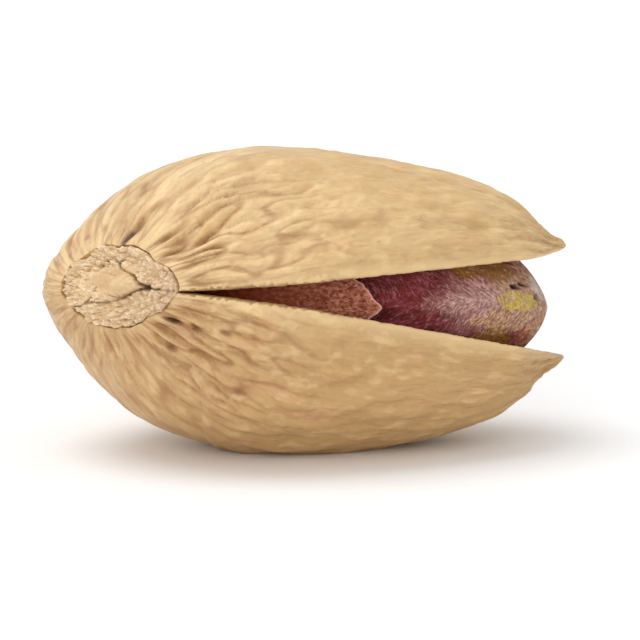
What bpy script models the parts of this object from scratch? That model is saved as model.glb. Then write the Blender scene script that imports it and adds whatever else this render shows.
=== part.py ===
# A ripe pistachio in its shell, lying on the lower of its two valves.
# The hard shell has split from near the stem scar, round the beaks and partly along
# the far side, so the kernel shows in the gape. It grew as one body with a hinge of
# unsplit shell at the stem end, and nothing in it is jointed.
#
# X runs from the stem end (-X) to the beaks (+X), the side that faces -Y carries the
# stem scar and the longer split, and +Z is up. The origin is the middle of the small
# flat spot that the nut lies on. Lengths are in millimetres up to the finished meshes.
#
# The nut is an egg form, turned round X. A place on its shell is named by its station,
# 0 at the stem's pole and pi at the beaks, and by its angle from the near seam, positive
# over the upper valve and negative under the lower one. The stem's pole lies off the
# egg's own blunt end, towards the near side, so the furrows fan out from there.

import math

import bmesh
import bpy
from mathutils import Vector, noise

MM = 0.001

# Closed nut: half thickness at fractions of the length
STEM_X = -10.05
BEAK_X = 10.25
OUTER_PROFILE = (
    (0.0, 0.0), (0.015, 1.08), (0.05, 2.06), (0.10, 3.24), (0.18, 4.55), (0.28, 5.37), (0.40, 5.66),
    (0.56, 5.27), (0.72, 4.38), (0.84, 3.36), (0.9, 2.58), (0.936, 1.82), (0.955, 1.26), (0.972, 0.64),
    (0.986, 0.37), (1.0, 0.0),
)
WIDTH_TO_THICKNESS = 1.08
POLE_SHIFT = 0.645
POLE_SHIFT_END = 2.2

# Cavity of the closed nut
CAVITY_STEM_X = -8.6
CAVITY_BEAK_X = 9.25
CAVITY_PROFILE = (
    (0.0, 0.0), (0.02, 1.2), (0.06, 2.25), (0.15, 3.7), (0.26, 4.55), (0.38, 4.8), (0.57, 4.4),
    (0.75, 3.55), (0.89, 2.45), (0.96, 1.45), (1.0, 0.0),
)

# The two valves: which way each lies, how far its beak has moved from the seam, how
# much fuller or flatter it is than the profile, and how far its tip curls up over the
# last share of the length
UPPER = 1.0
LOWER = -1.0
BEAK_SHIFT = {UPPER: 1.71, LOWER: -2.14}
FULLNESS = {UPPER: 0.965, LOWER: 1.035}
TIP_CURL = {UPPER: 0.26, LOWER: 0.0}
TIP_SHARE = 0.09

# The split's start on the near and the far side, as fractions of the length. Beyond it
# the gape grows evenly to the beaks, after a rounded start.
SPLIT_NEAR = 0.24
SPLIT_FAR = 0.42
GAPE_ROUNDING = 0.08
HAIRLINE = 0.03

# How the nut lies: the near seam rolled up, the beaks pitched down, and the point of
# the egg form's own frame that comes to rest on the floor. The underside is flat up to
# one height over the floor and joins the round form at another.
ROLL = math.radians(10.0)
PITCH = math.radians(2.7)
REST_POINT = Vector((0.02, -0.46, -5.88))
FLAT_BELOW = 0.12
ROUND_ABOVE = 0.7

# Outline of the stem scar as stations round the pole, and the recess that holds it
SCAR_STATION = 0.25
SCAR_SWELL = 0.08
SCAR_SWELL_ANGLE = math.radians(75.0)
SCAR_TAIL = 0.1
SCAR_TAIL_ANGLE = math.radians(3.0)
SCAR_TAIL_SHARPNESS = 16
RECESS_DEPTH = 0.5
RECESS_WALL = 0.95
RECESS_LIP = 0.1
LIP_WIDTH = 0.12

# Corky plug in the recess, with cracks between its lobes. A crack's points lie on the
# flattened pole: station times the cosine and the sine of the angle.
PLUG_FIT = 0.9
PLUG_GAP = 0.05
PLUG_CROWN = 0.16
CROWN_SHARPNESS = 4
PLUG_LUMPS = 0.12
LUMPS_PER_STATION = 18.0
CRACK_DEPTH = 0.16
CRACK_WIDTH = 0.02
CRACKS = (
    ((0.1, 0.33), (0.06, 0.2), (0.16, 0.13), (0.245, 0.02)),
    ((-0.2, -0.155), (-0.055, -0.15), (0.11, -0.086), (0.245, 0.02)),
    ((0.245, 0.02), (0.42, 0.0)),
)

# Relief of the shell: ribs and finer ribs as counts round the pole and along a station,
# with broad lumps. The ribs fade between two stations, and the shell's blunt end and the
# skin by the scar and the beaks stay smooth.
RIB_HEIGHT = 0.26
RIB_NOISE = (4.2, 1.1, 0.0)
FINE_RIB_HEIGHT = 0.13
FINE_RIB_NOISE = (8.0, 1.6, 7.0)
LUMP_HEIGHT = 0.1
LUMP_NOISE = (1.7, 2.2, 3.0)
RIB_FADE_FROM = 0.6
RIB_FADE_TO = 2.2
RIB_FADE = 0.7
BLUNT_END_CALM = 0.8
BLUNT_END_FROM = 0.35
BLUNT_END_TO = 1.1
BEAK_CALM = 0.4
SCAR_CALM_FROM = -0.02
SCAR_CALM_TO = 0.16
RIM_TEETH = 0.05
TEETH_PER_ROW = 0.9

# A deep furrow has its angle in degrees, its first and last station, its half width in
# degrees and its depth. It opens steeply at the scar and runs out slowly.
FURROW_OPENING = 6.0
FURROW_RUN_OUT = 0.7
DEEP_FURROWS = (
    (75.0, 0.32, 0.8, 6.0, 0.28), (37.0, 0.3, 1.05, 5.0, 0.2), (26.0, 0.34, 1.2, 4.5, 0.18),
    (108.0, 0.3, 0.95, 7.0, 0.18), (148.0, 0.27, 1.0, 8.0, 0.16), (-26.0, 0.36, 0.64, 4.5, 0.22),
    (-48.0, 0.26, 1.15, 5.0, 0.2), (-66.0, 0.24, 1.05, 5.0, 0.2), (-84.0, 0.24, 1.0, 5.0, 0.22),
    (-104.0, 0.25, 1.0, 6.0, 0.18), (-132.0, 0.25, 0.9, 7.0, 0.16), (-160.0, 0.25, 0.9, 8.0, 0.16),
)

# Kernel, with the upper side of its nose slanting back
KERNEL_STEM_X = -6.2
KERNEL_NOSE_X = 9.55
KERNEL_HALF_THICKNESS = 4.0
KERNEL_HALF_WIDTH = 4.0
KERNEL_SHIFT_Y = -0.05
KERNEL_LIFT = 0.08
KERNEL_BLUNTNESS = 0.94
NOSE_SLANT = 0.42
NOSE_SLANT_BELOW = 0.4
NOSE_FROM = 1.9
NOSE_TO = 2.6
WRINKLE_HEIGHT = 0.12
WRINKLE_NOISE = (3.0, 1.5, 0.0)

# Torn flap of papery skin over the near side of the kernel
FLAP_THICKNESS = 0.18
FLAP_GAP = 0.06
FLAP_STEM_X = -4.4
FLAP_EDGE_X = 1.3
FLAP_POINT = 1.05
FLAP_POINT_ANGLE = math.radians(-6.5)
FLAP_POINT_SPREAD = math.radians(16.0)
FLAP_REACH = math.radians(58.0)
FLAP_TEARS = ((9.0, 0.2), (27.0, 0.1))
FLAP_CURL = 0.08
FLAP_CURL_FROM = 0.8
FLAP_FOLLOW = 0.5

# Mesh fineness
SHELL_ROWS = 44
RECESS_ROWS = 4
SHELL_COLUMNS = 34
CAVITY_COLUMNS = 8
PLUG_RINGS = 9
PLUG_COLUMNS = 36
PLUG_BASE_RINGS = 3
KERNEL_ROWS = 26
KERNEL_COLUMNS = 24
FLAP_ROWS = 12
FLAP_COLUMNS = 14
SMOOTH_ANGLE = math.radians(50.0)
SLOPE_STEP = 0.01

# Colour, roughness and metallic value of each finish
FINISHES = {
    "shell": ((0.70, 0.50, 0.28, 1.0), 0.55, 0.0),
    "stem_scar": ((0.66, 0.47, 0.28, 1.0), 0.8, 0.0),
    "kernel": ((0.25, 0.07, 0.08, 1.0), 0.55, 0.0),
    "torn_skin": ((0.17, 0.05, 0.03, 1.0), 0.7, 0.0),
}


# Curves and other plain arithmetic

def by_station(profile):
    """The profile's knots with each fraction of the length turned into a station."""
    return [(math.acos(1.0 - 2.0 * fraction), radius) for fraction, radius in profile]


OUTER_KNOTS = by_station(OUTER_PROFILE)
CAVITY_KNOTS = by_station(CAVITY_PROFILE)


def chord_slope(knots, i):
    """Slope of the straight line from knot i to the next one."""
    return (knots[i + 1][1] - knots[i][1]) / (knots[i + 1][0] - knots[i][0])


def knot_slope(knots, i):
    """Slope of the smooth curve at knot i, from the chords that meet there."""
    if i == 0:
        return chord_slope(knots, 0)
    if i == len(knots) - 1:
        return chord_slope(knots, i - 1)
    before = knots[i][0] - knots[i - 1][0]
    after = knots[i + 1][0] - knots[i][0]
    return (chord_slope(knots, i - 1) * after + chord_slope(knots, i) * before) / (before + after)


def smooth_curve(knots, x):
    """Height at x of the smooth curve through the knots."""
    i = max(k for k in range(len(knots) - 1) if k == 0 or knots[k][0] <= x)
    (x0, y0), (x1, y1) = knots[i], knots[i + 1]
    span = x1 - x0
    t = (x - x0) / span
    from_start = (2.0 * t ** 3 - 3.0 * t ** 2 + 1.0) * y0
    from_end = (3.0 * t ** 2 - 2.0 * t ** 3) * y1
    start_turn = (t ** 3 - 2.0 * t ** 2 + t) * span * knot_slope(knots, i)
    end_turn = (t ** 3 - t ** 2) * span * knot_slope(knots, i + 1)
    return from_start + from_end + start_turn + end_turn


def ramp(low, high, x):
    """0 below low, 1 above high and a smooth rise between them."""
    t = min(max((x - low) / (high - low), 0.0), 1.0)
    return t * t * (3.0 - 2.0 * t)


def distance_to_line(u, v, line):
    """Distance from a point to a line of straight stretches."""
    point = Vector((u, v))
    nearest = math.inf
    for start, end in zip(line, line[1:]):
        a = Vector(start)
        stretch = Vector(end) - a
        share = min(max((point - a).dot(stretch) / stretch.length_squared, 0.0), 1.0)
        nearest = min(nearest, (point - a - stretch * share).length)
    return nearest


# How the nut is open, bent and laid down

def egg_place(station, angle):
    """Station from the egg's own blunt end, and the heading across the seam and over it."""
    shift = POLE_SHIFT * (1.0 - ramp(0.0, POLE_SHIFT_END, station))
    along = -math.cos(station)
    across = -math.sin(station) * math.cos(angle)
    over = math.sin(station) * math.sin(angle)
    own_along = along * math.cos(shift) - across * math.sin(shift)
    own_across = along * math.sin(shift) + across * math.cos(shift)
    around = max(math.hypot(own_across, over), 1e-9)
    return math.atan2(around, -own_along), own_across / around, over / around


def fraction_of(own_station):
    """Share of the nut's length that lies before a station of the egg's own."""
    return (1.0 - math.cos(own_station)) / 2.0


def gape(own_station, across):
    """Share of the beak's movement at a place on the shell, and its slope along X."""
    start = (SPLIT_NEAR + SPLIT_FAR) / 2.0 + across * (SPLIT_FAR - SPLIT_NEAR) / 2.0
    run = max(fraction_of(own_station) - start, 0.0) / (1.0 - start)
    full = math.hypot(1.0, GAPE_ROUNDING) - GAPE_ROUNDING
    share = (math.hypot(run, GAPE_ROUNDING) - GAPE_ROUNDING) / full
    slope = run / math.hypot(run, GAPE_ROUNDING) / full
    return share, slope / ((1.0 - start) * (BEAK_X - STEM_X))


def swing(x, z, own_station, across, valve):
    """Swing a point of the closed shell away from the seam with its valve."""
    share, slope = gape(own_station, across)
    tilt = math.atan(BEAK_SHIFT[valve] * slope)
    curl = TIP_CURL[valve] * max(1.0 - (1.0 - fraction_of(own_station)) / TIP_SHARE, 0.0) ** 2
    return x - z * math.sin(tilt), BEAK_SHIFT[valve] * share + curl + z * math.cos(tilt)


def lay_down(x, y, z):
    """Roll and pitch the nut, and set it on its flat spot."""
    y, z = y * math.cos(ROLL) + z * math.sin(ROLL), z * math.cos(ROLL) - y * math.sin(ROLL)
    x, z = x * math.cos(PITCH) + z * math.sin(PITCH), z * math.cos(PITCH) - x * math.sin(PITCH)
    return Vector((x, y, z)) - REST_POINT


# Relief of the shell and of the stem scar

def scar_station(angle):
    """Station of the stem scar's outline, which runs out in a tail along the split."""
    swell = (1.0 + math.cos(angle - SCAR_SWELL_ANGLE)) / 2.0
    tail = ((1.0 + math.cos(angle - SCAR_TAIL_ANGLE)) / 2.0) ** SCAR_TAIL_SHARPNESS
    return SCAR_STATION + SCAR_SWELL * swell + SCAR_TAIL * tail


def deep_furrow(station, angle, furrow):
    """Depth of one deep furrow at a place on the shell."""
    middle, first, last, half_width, depth = furrow
    if not first < station < last:
        return 0.0
    off = (math.degrees(angle) - middle + 180.0) % 360.0 - 180.0
    along = (station - first) / (last - first)
    opening = min(1.0, FURROW_OPENING * along) * (1.0 - along) ** FURROW_RUN_OUT
    return depth * opening * math.exp(-(off / half_width) ** 2)


def surface_noise(station, angle, kind):
    """Noise over the shell or the kernel, stretched along it."""
    around, along, start = kind
    place = (around * math.cos(angle), around * math.sin(angle), along * station + start)
    return noise.noise(Vector(place))


def shell_relief(station, angle):
    """Rise of the shell's surface: furrows and ribs that fade from the stem, and lumps."""
    ribs = RIB_HEIGHT * surface_noise(station, angle, RIB_NOISE)
    ribs += FINE_RIB_HEIGHT * surface_noise(station, angle, FINE_RIB_NOISE)
    ribs *= 1.0 - RIB_FADE * ramp(RIB_FADE_FROM, RIB_FADE_TO, station)
    lumps = LUMP_HEIGHT * surface_noise(station, angle, LUMP_NOISE)
    deep = sum(deep_furrow(station, angle, furrow) for furrow in DEEP_FURROWS)
    blunt_end = (1.0 - math.cos(angle)) / 2.0 * (1.0 - ramp(BLUNT_END_FROM, BLUNT_END_TO, station))
    calm = (1.0 - BLUNT_END_CALM * blunt_end) * ramp(0.0, BEAK_CALM, math.pi - station)
    return (ribs + lumps - deep) * calm


def shell_rise(row, station, angle):
    """Relief of the shell with the recess for the stem scar sunk into it."""
    if row <= RECESS_ROWS:
        return -RECESS_DEPTH
    past_edge = station - scar_station(angle)
    lip = RECESS_LIP * (1.0 - ramp(0.0, LIP_WIDTH, past_edge))
    return shell_relief(station, angle) * ramp(SCAR_CALM_FROM, SCAR_CALM_TO, past_edge) + lip


def plug_rise(share, angle):
    """Rise of the corky plug's top: a low crown, lumps, and cracks between its lobes."""
    station = share * scar_station(angle)
    u, v = station * math.cos(angle), station * math.sin(angle)
    crown = PLUG_CROWN * (1.0 - (share / PLUG_FIT) ** CROWN_SHARPNESS)
    lumps = PLUG_LUMPS * noise.noise(Vector((LUMPS_PER_STATION * u, LUMPS_PER_STATION * v, 2.0)))
    nearest = min(distance_to_line(u, v, crack) for crack in CRACKS)
    return crown + lumps - CRACK_DEPTH * math.exp(-(nearest / CRACK_WIDTH) ** 2) - PLUG_GAP


# Points of each piece

def shell_station(row, angle):
    """Station of a row of the shell's mesh. The first rows follow the scar's outline."""
    edge = scar_station(angle)
    if row <= RECESS_ROWS:
        return edge * RECESS_WALL * row / RECESS_ROWS
    return edge + (math.pi - edge) * (row - RECESS_ROWS - 1) / (SHELL_ROWS - RECESS_ROWS - 1)


def outside(station, angle, valve, rise):
    """A point at a rise above the shell's smooth outside, open and laid down."""
    own, across, over = egg_place(station, angle)
    ahead = smooth_curve(OUTER_KNOTS, min(own + SLOPE_STEP, math.pi))
    behind = smooth_curve(OUTER_KNOTS, max(own - SLOPE_STEP, 0.0))
    normal = Vector((behind - ahead, (BEAK_X - STEM_X) * math.sin(own) * SLOPE_STEP)).normalized()
    x = STEM_X + (BEAK_X - STEM_X) * fraction_of(own) + rise * normal.x
    radius = smooth_curve(OUTER_KNOTS, own) + rise * normal.y
    x, z = swing(x, radius * over * FULLNESS[valve], own, across, valve)
    return lay_down(x, radius * WIDTH_TO_THICKNESS * across, z)


def flatten(height):
    """Height over the floor once the underside is pressed flat where the nut lies."""
    if height > ROUND_ABOVE:
        return height
    return max(height - FLAT_BELOW, 0.0) * ROUND_ABOVE / (ROUND_ABOVE - FLAT_BELOW)


def shell_point(row, angle, valve):
    """A point of the shell's outside, flat where the nut lies."""
    station = shell_station(row, angle)
    point = outside(station, angle, valve, shell_rise(row, station, angle))
    point.z = flatten(point.z)
    return point


def cavity_point(row, angle, valve):
    """A point of the shell's inside, open and laid down."""
    own, across, over = egg_place(shell_station(row, angle), angle)
    x = CAVITY_STEM_X + (CAVITY_BEAK_X - CAVITY_STEM_X) * fraction_of(own)
    radius = smooth_curve(CAVITY_KNOTS, own)
    x, z = swing(x, radius * over * FULLNESS[valve], own, across, valve)
    return lay_down(x, radius * WIDTH_TO_THICKNESS * across, z)


def kernel_point(station, angle, rise):
    """A point at a rise above the kernel's smooth surface."""
    middle = (KERNEL_STEM_X + KERNEL_NOSE_X) / 2.0
    half_length = (KERNEL_NOSE_X - KERNEL_STEM_X) / 2.0
    swell = max(math.sin(station), 0.0) ** KERNEL_BLUNTNESS
    x = middle - (half_length + rise) * math.cos(station)
    y = KERNEL_SHIFT_Y - (KERNEL_HALF_WIDTH + rise) * swell * math.cos(angle)
    z = (KERNEL_HALF_THICKNESS + rise) * swell * math.sin(angle)
    x -= NOSE_SLANT * max(z + NOSE_SLANT_BELOW, 0.0) * ramp(NOSE_FROM, NOSE_TO, station)
    return lay_down(x, y, KERNEL_LIFT + z)


def kernel_relief(station, angle):
    """Lengthwise wrinkles of the kernel, which fade at its two ends."""
    return WRINKLE_HEIGHT * math.sin(station) * surface_noise(station, angle, WRINKLE_NOISE)


def kernel_station(x):
    """Station on the kernel that lies at x."""
    middle = (KERNEL_STEM_X + KERNEL_NOSE_X) / 2.0
    return math.acos((middle - x) * 2.0 / (KERNEL_NOSE_X - KERNEL_STEM_X))


def torn_edge(angle):
    """X of the flap's torn edge, which runs out to a point near its middle."""
    point = max(0.0, 1.0 - abs(angle - FLAP_POINT_ANGLE) / FLAP_POINT_SPREAD)
    tears = sum(depth * math.sin(count * angle) for count, depth in FLAP_TEARS)
    return FLAP_EDGE_X + FLAP_POINT * point + tears


# Meshes

class Patchwork:
    """Points and faces of one closed mesh, with each point met once by its key."""

    def __init__(self):
        self.points = []
        self.numbers = {}
        self.faces = []

    def point(self, key, place):
        if key not in self.numbers:
            self.numbers[key] = len(self.points)
            self.points.append(place * MM)
        return self.numbers[key]

    def face(self, corners):
        distinct = list(dict.fromkeys(corners))
        if len(distinct) > 2:
            self.faces.append(distinct)

    def sheet(self, grid):
        """Faces between the neighbouring rows and columns of a grid of point numbers."""
        for low, high in zip(grid, grid[1:]):
            for i in range(len(low) - 1):
                self.face((low[i], high[i], high[i + 1], low[i + 1]))

    def add_object(self, name):
        mesh = bpy.data.meshes.new(name)
        mesh.from_pydata(self.points, [], self.faces)
        turned = bmesh.new()
        turned.from_mesh(mesh)
        bmesh.ops.recalc_face_normals(turned, faces=turned.faces)
        turned.to_mesh(mesh)
        turned.free()
        mesh.shade_smooth()
        mesh.set_sharp_from_angle(angle=SMOOTH_ANGLE)
        mesh.materials.append(finish(name))
        piece = bpy.data.objects.new(name, mesh)
        bpy.context.scene.collection.objects.link(piece)


def finish(name):
    """Plain material of one piece."""
    colour, roughness, metallic = FINISHES[name]
    material = bpy.data.materials.new(name)
    material.use_nodes = True
    shader = material.node_tree.nodes["Principled BSDF"]
    shader.inputs["Base Color"].default_value = colour
    shader.inputs["Roughness"].default_value = roughness
    shader.inputs["Metallic"].default_value = metallic
    return material


def last_closed_row(angle):
    """Last row at which the seam at this angle is still shut."""
    shut = 0
    for row in range(SHELL_ROWS):
        own, across, _ = egg_place(shell_station(row, angle), angle)
        if gape(own, across)[0] * (BEAK_SHIFT[UPPER] - BEAK_SHIFT[LOWER]) < HAIRLINE:
            shut = row
    return shut


def seam_key(face, valve, row, column, columns, shut):
    """Key that the two valves share along the shut seam, at the pole and at each beak."""
    if row == 0:
        return face, "pole"
    if row == SHELL_ROWS:
        return face, "beak", valve
    if column in (0, columns) and row <= shut[column == columns]:
        return face, "seam", row, column == columns
    return face, valve, row, column


def shell_grid(patchwork, face, place, columns, valve, shut):
    """Grid of point numbers of one valve's outside or inside."""
    grid = []
    for row in range(SHELL_ROWS + 1):
        line = []
        for column in range(columns + 1):
            angle = valve * math.pi * column / columns
            key = seam_key(face, valve, row, column, columns, shut)
            line.append(patchwork.point(key, place(row, angle, valve)))
        grid.append(line)
    return grid


def rim(patchwork, outer, inner, first_row, valve):
    """Close the wall between the outside and the inside along an open edge."""
    for row in range(first_row, SHELL_ROWS):
        patchwork.face((outer[row], outer[row + 1], inner[row + 1], inner[row]))
    for row in range(first_row + 1, SHELL_ROWS):
        tooth = noise.noise(Vector((TEETH_PER_ROW * row, valve, first_row)))
        patchwork.points[outer[row]].z += RIM_TEETH * MM * tooth


def make_shell():
    shut = (last_closed_row(0.0), last_closed_row(math.pi))
    patchwork = Patchwork()
    for valve in (UPPER, LOWER):
        outer = shell_grid(patchwork, "outside", shell_point, SHELL_COLUMNS, valve, shut)
        inner = shell_grid(patchwork, "inside", cavity_point, CAVITY_COLUMNS, valve, shut)
        patchwork.sheet(outer)
        patchwork.sheet(inner)
        for first_row, column in zip(shut, (0, -1)):
            edges = [[line[column] for line in grid] for grid in (outer, inner)]
            rim(patchwork, *edges, first_row, valve)
    patchwork.add_object("shell")


def make_stem_scar():
    patchwork = Patchwork()
    base = PLUG_GAP - RECESS_DEPTH
    top_shares = [PLUG_FIT * ring / PLUG_RINGS for ring in range(PLUG_RINGS + 1)]
    base_shares = [PLUG_FIT * ring / PLUG_BASE_RINGS for ring in range(PLUG_BASE_RINGS, -1, -1)]
    grid = []
    for level, shares in (("top", top_shares), ("base", base_shares)):
        for share in shares:
            line = []
            for column in range(PLUG_COLUMNS + 1):
                angle = 2.0 * math.pi * (column % PLUG_COLUMNS) / PLUG_COLUMNS
                rise = plug_rise(share, angle) if level == "top" else base
                valve = UPPER if angle <= math.pi else LOWER
                place = outside(share * scar_station(angle), angle, valve, rise)
                key = (level, share, column % PLUG_COLUMNS if share else 0)
                line.append(patchwork.point(key, place))
            grid.append(line)
    patchwork.sheet(grid)
    patchwork.add_object("stem_scar")


def make_kernel():
    patchwork = Patchwork()
    grid = []
    for row in range(KERNEL_ROWS + 1):
        station = math.pi * row / KERNEL_ROWS
        line = []
        for column in range(KERNEL_COLUMNS + 1):
            turn = column % KERNEL_COLUMNS
            angle = 2.0 * math.pi * turn / KERNEL_COLUMNS
            place = kernel_point(station, angle, kernel_relief(station, angle))
            key = (row, turn if 0 < row < KERNEL_ROWS else 0)
            line.append(patchwork.point(key, place))
        grid.append(line)
    patchwork.sheet(grid)
    patchwork.add_object("kernel")


def make_torn_skin():
    patchwork = Patchwork()
    grids = {}
    for face, rise in (("under", FLAP_GAP), ("over", FLAP_GAP + FLAP_THICKNESS)):
        grids[face] = []
        for row in range(FLAP_ROWS + 1):
            share = row / FLAP_ROWS
            line = []
            for column in range(FLAP_COLUMNS + 1):
                angle = FLAP_REACH * (2.0 * column / FLAP_COLUMNS - 1.0)
                x = FLAP_STEM_X + (torn_edge(angle) - FLAP_STEM_X) * share
                station = kernel_station(x)
                follow = FLAP_FOLLOW * (WRINKLE_HEIGHT + kernel_relief(station, angle))
                curl = FLAP_CURL * ramp(FLAP_CURL_FROM, 1.0, share)
                place = kernel_point(station, angle, follow + rise + curl)
                line.append(patchwork.point((face, row, column), place))
            grids[face].append(line)
        patchwork.sheet(grids[face])
    under, over = grids["under"], grids["over"]
    for edge in (0, -1):
        patchwork.sheet([under[edge], over[edge]])
        patchwork.sheet([[line[edge] for line in under], [line[edge] for line in over]])
    patchwork.add_object("torn_skin")


def main():
    for leftover in list(bpy.data.objects):
        bpy.data.objects.remove(leftover)
    make_shell()
    make_stem_scar()
    make_kernel()
    make_torn_skin()


main()
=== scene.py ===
import math

import bmesh
import bpy
import numpy as np
from mathutils import Matrix, Vector, noise


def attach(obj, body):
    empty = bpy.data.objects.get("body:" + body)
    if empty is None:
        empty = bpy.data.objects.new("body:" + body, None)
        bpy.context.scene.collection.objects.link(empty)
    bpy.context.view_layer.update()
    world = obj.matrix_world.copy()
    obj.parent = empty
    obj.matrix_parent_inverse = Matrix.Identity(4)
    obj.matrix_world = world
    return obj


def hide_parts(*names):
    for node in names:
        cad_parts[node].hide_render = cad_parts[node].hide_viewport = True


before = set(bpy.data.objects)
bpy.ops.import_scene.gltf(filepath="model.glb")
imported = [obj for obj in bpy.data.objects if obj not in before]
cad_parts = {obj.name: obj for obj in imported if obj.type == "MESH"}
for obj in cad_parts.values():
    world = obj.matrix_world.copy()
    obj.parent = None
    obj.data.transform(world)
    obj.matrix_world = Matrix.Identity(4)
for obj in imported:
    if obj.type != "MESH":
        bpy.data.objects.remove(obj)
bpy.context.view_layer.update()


# The hard shell of a pistachio: two woody valves that grew as one body round the kernel,
# split from near the stem scar to the beaks and shut along the stem end. Its outside has
# ribs and furrows that fan out from the scar, and its split edges are thin and crumbly.

# A place on the shell is named by its station, 0 at the stem's pole and pi at the beaks,
# and by its angle from the near seam, positive over the upper valve. Lengths are in mm.
MM = 0.001
STEM_X = -10.05
BEAK_X = 10.25
OUTER_PROFILE = (
    (0, 0), (0.015, 1.08), (0.05, 2.06), (0.10, 3.24), (0.18, 4.55), (0.28, 5.37), (0.40, 5.66),
    (0.56, 5.27), (0.72, 4.38), (0.84, 3.36), (0.9, 2.58), (0.936, 1.82), (0.955, 1.24), (0.972, 0.78),
    (0.986, 0.55), (0.995, 0.33), (1, 0),
)
WIDTH_TO_THICKNESS = 1.08
POLE_SHIFT = 0.645
POLE_SHIFT_END = 2.2
CAVITY_STEM_X = -8.6
CAVITY_BEAK_X = 9.25
CAVITY_PROFILE = (
    (0, 0), (0.02, 1.2), (0.06, 2.25), (0.15, 3.7), (0.26, 4.55), (0.38, 4.8), (0.57, 4.4),
    (0.75, 3.55), (0.89, 2.45), (0.96, 1.45), (1, 0),
)
UPPER = 1
LOWER = -1
BEAK_SHIFT = {UPPER: 1.71, LOWER: -2.14}
FULLNESS = {UPPER: 0.965, LOWER: 1.035}
TIP_CURL = {UPPER: 0.26, LOWER: 0}
TIP_SHARE = 0.09
SPLIT_NEAR = 0.24
SPLIT_FAR = 0.42
GAPE_ROUNDING = 0.08
ROLL = math.radians(10)
PITCH = math.radians(2.7)
REST_POINT = np.array((0.02, -0.46, -5.88))
FLAT_BELOW = 0.12
ROUND_ABOVE = 0.7


def ramp(low, high, x):
    """0 below low, 1 above high and a smooth rise between them."""
    t = np.clip((x - low) / (high - low), 0, 1)
    return t * t * (3 - 2 * t)


def bell(x, width):
    """1 where x is 0, falling smoothly to nothing a few widths away."""
    return np.exp(-(x / width) ** 2)


def wander(x, y, z):
    """Smooth noise at each place, from about -1 to 1."""
    x, y, z = np.broadcast_arrays(x, y, z)
    places = zip(x.ravel().tolist(), y.ravel().tolist(), z.ravel().tolist())
    return np.fromiter(map(noise.noise, places), float, x.size).reshape(x.shape)


def smooth_curve(profile, station):
    """Half thickness at each station, from a profile by fractions of the length."""
    fraction, height = np.array(profile).T
    along = np.arccos(1 - 2 * fraction)
    span = np.diff(along)
    chord = np.diff(height) / span
    between = (chord[:-1] * span[1:] + chord[1:] * span[:-1]) / (span[:-1] + span[1:])
    turn = np.concatenate((chord[:1], between, chord[-1:]))
    i = np.clip(np.searchsorted(along, station, side="right") - 1, 0, len(span) - 1)
    t = (station - along[i]) / span[i]
    ends = (2 * t ** 3 - 3 * t ** 2 + 1) * height[i] + (3 * t ** 2 - 2 * t ** 3) * height[i + 1]
    turns = (t ** 3 - 2 * t ** 2 + t) * turn[i] + (t ** 3 - t ** 2) * turn[i + 1]
    return ends + turns * span[i]


def egg_place(station, angle):
    """Station from the egg's own blunt end, and the heading across the seam and over it."""
    shift = POLE_SHIFT * (1 - ramp(0, POLE_SHIFT_END, station))
    along = -np.cos(station)
    across = -np.sin(station) * np.cos(angle)
    over = np.sin(station) * np.sin(angle)
    own_along = along * np.cos(shift) - across * np.sin(shift)
    own_across = along * np.sin(shift) + across * np.cos(shift)
    around = np.maximum(np.hypot(own_across, over), 1e-9)
    return np.arctan2(around, -own_along), own_across / around, over / around


def swing(x, z, own_station, across, valve):
    """Swing points of the closed shell away from the seam with their valve."""
    start = (SPLIT_NEAR + SPLIT_FAR) / 2 + across * (SPLIT_FAR - SPLIT_NEAR) / 2
    run = np.maximum((1 - np.cos(own_station)) / 2 - start, 0) / (1 - start)
    full = math.hypot(1, GAPE_ROUNDING) - GAPE_ROUNDING
    share = (np.hypot(run, GAPE_ROUNDING) - GAPE_ROUNDING) / full
    slope = run / np.hypot(run, GAPE_ROUNDING) / full / ((1 - start) * (BEAK_X - STEM_X))
    tilt = np.arctan(BEAK_SHIFT[valve] * slope)
    curl = TIP_CURL[valve] * np.maximum(1 - (1 + np.cos(own_station)) / 2 / TIP_SHARE, 0) ** 2
    return x - z * np.sin(tilt), BEAK_SHIFT[valve] * share + curl + z * np.cos(tilt)


def lay_down(x, y, z):
    """Roll and pitch the nut, and set it on its flat spot."""
    y, z = y * math.cos(ROLL) + z * math.sin(ROLL), z * math.cos(ROLL) - y * math.sin(ROLL)
    x, z = x * math.cos(PITCH) + z * math.sin(PITCH), z * math.cos(PITCH) - x * math.sin(PITCH)
    return np.stack((x, y, z), -1) - REST_POINT


def flatten(height):
    """Height over the floor once the underside is pressed flat where the nut lies."""
    pressed = np.maximum(height - FLAT_BELOW, 0) * ROUND_ABOVE / (ROUND_ABOVE - FLAT_BELOW)
    return np.where(height > ROUND_ABOVE, height, pressed)


def outside(station, angle, valve, rise):
    """Points at a rise above the shell's smooth outside, open and laid down."""
    own, across, over = egg_place(station, angle)
    step = 0.01
    ahead = smooth_curve(OUTER_PROFILE, np.minimum(own + step, math.pi))
    behind = smooth_curve(OUTER_PROFILE, np.maximum(own - step, 0))
    lengthwise = (BEAK_X - STEM_X) * np.sin(own) * step
    size = np.maximum(np.hypot(behind - ahead, lengthwise), 1e-9)
    x = STEM_X + (BEAK_X - STEM_X) * (1 - np.cos(own)) / 2 + rise * (behind - ahead) / size
    radius = smooth_curve(OUTER_PROFILE, own) + rise * lengthwise / size
    x, z = swing(x, radius * over * FULLNESS[valve], own, across, valve)
    place = lay_down(x, radius * WIDTH_TO_THICKNESS * across, z)
    place[..., 2] = flatten(place[..., 2])
    return place


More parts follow.
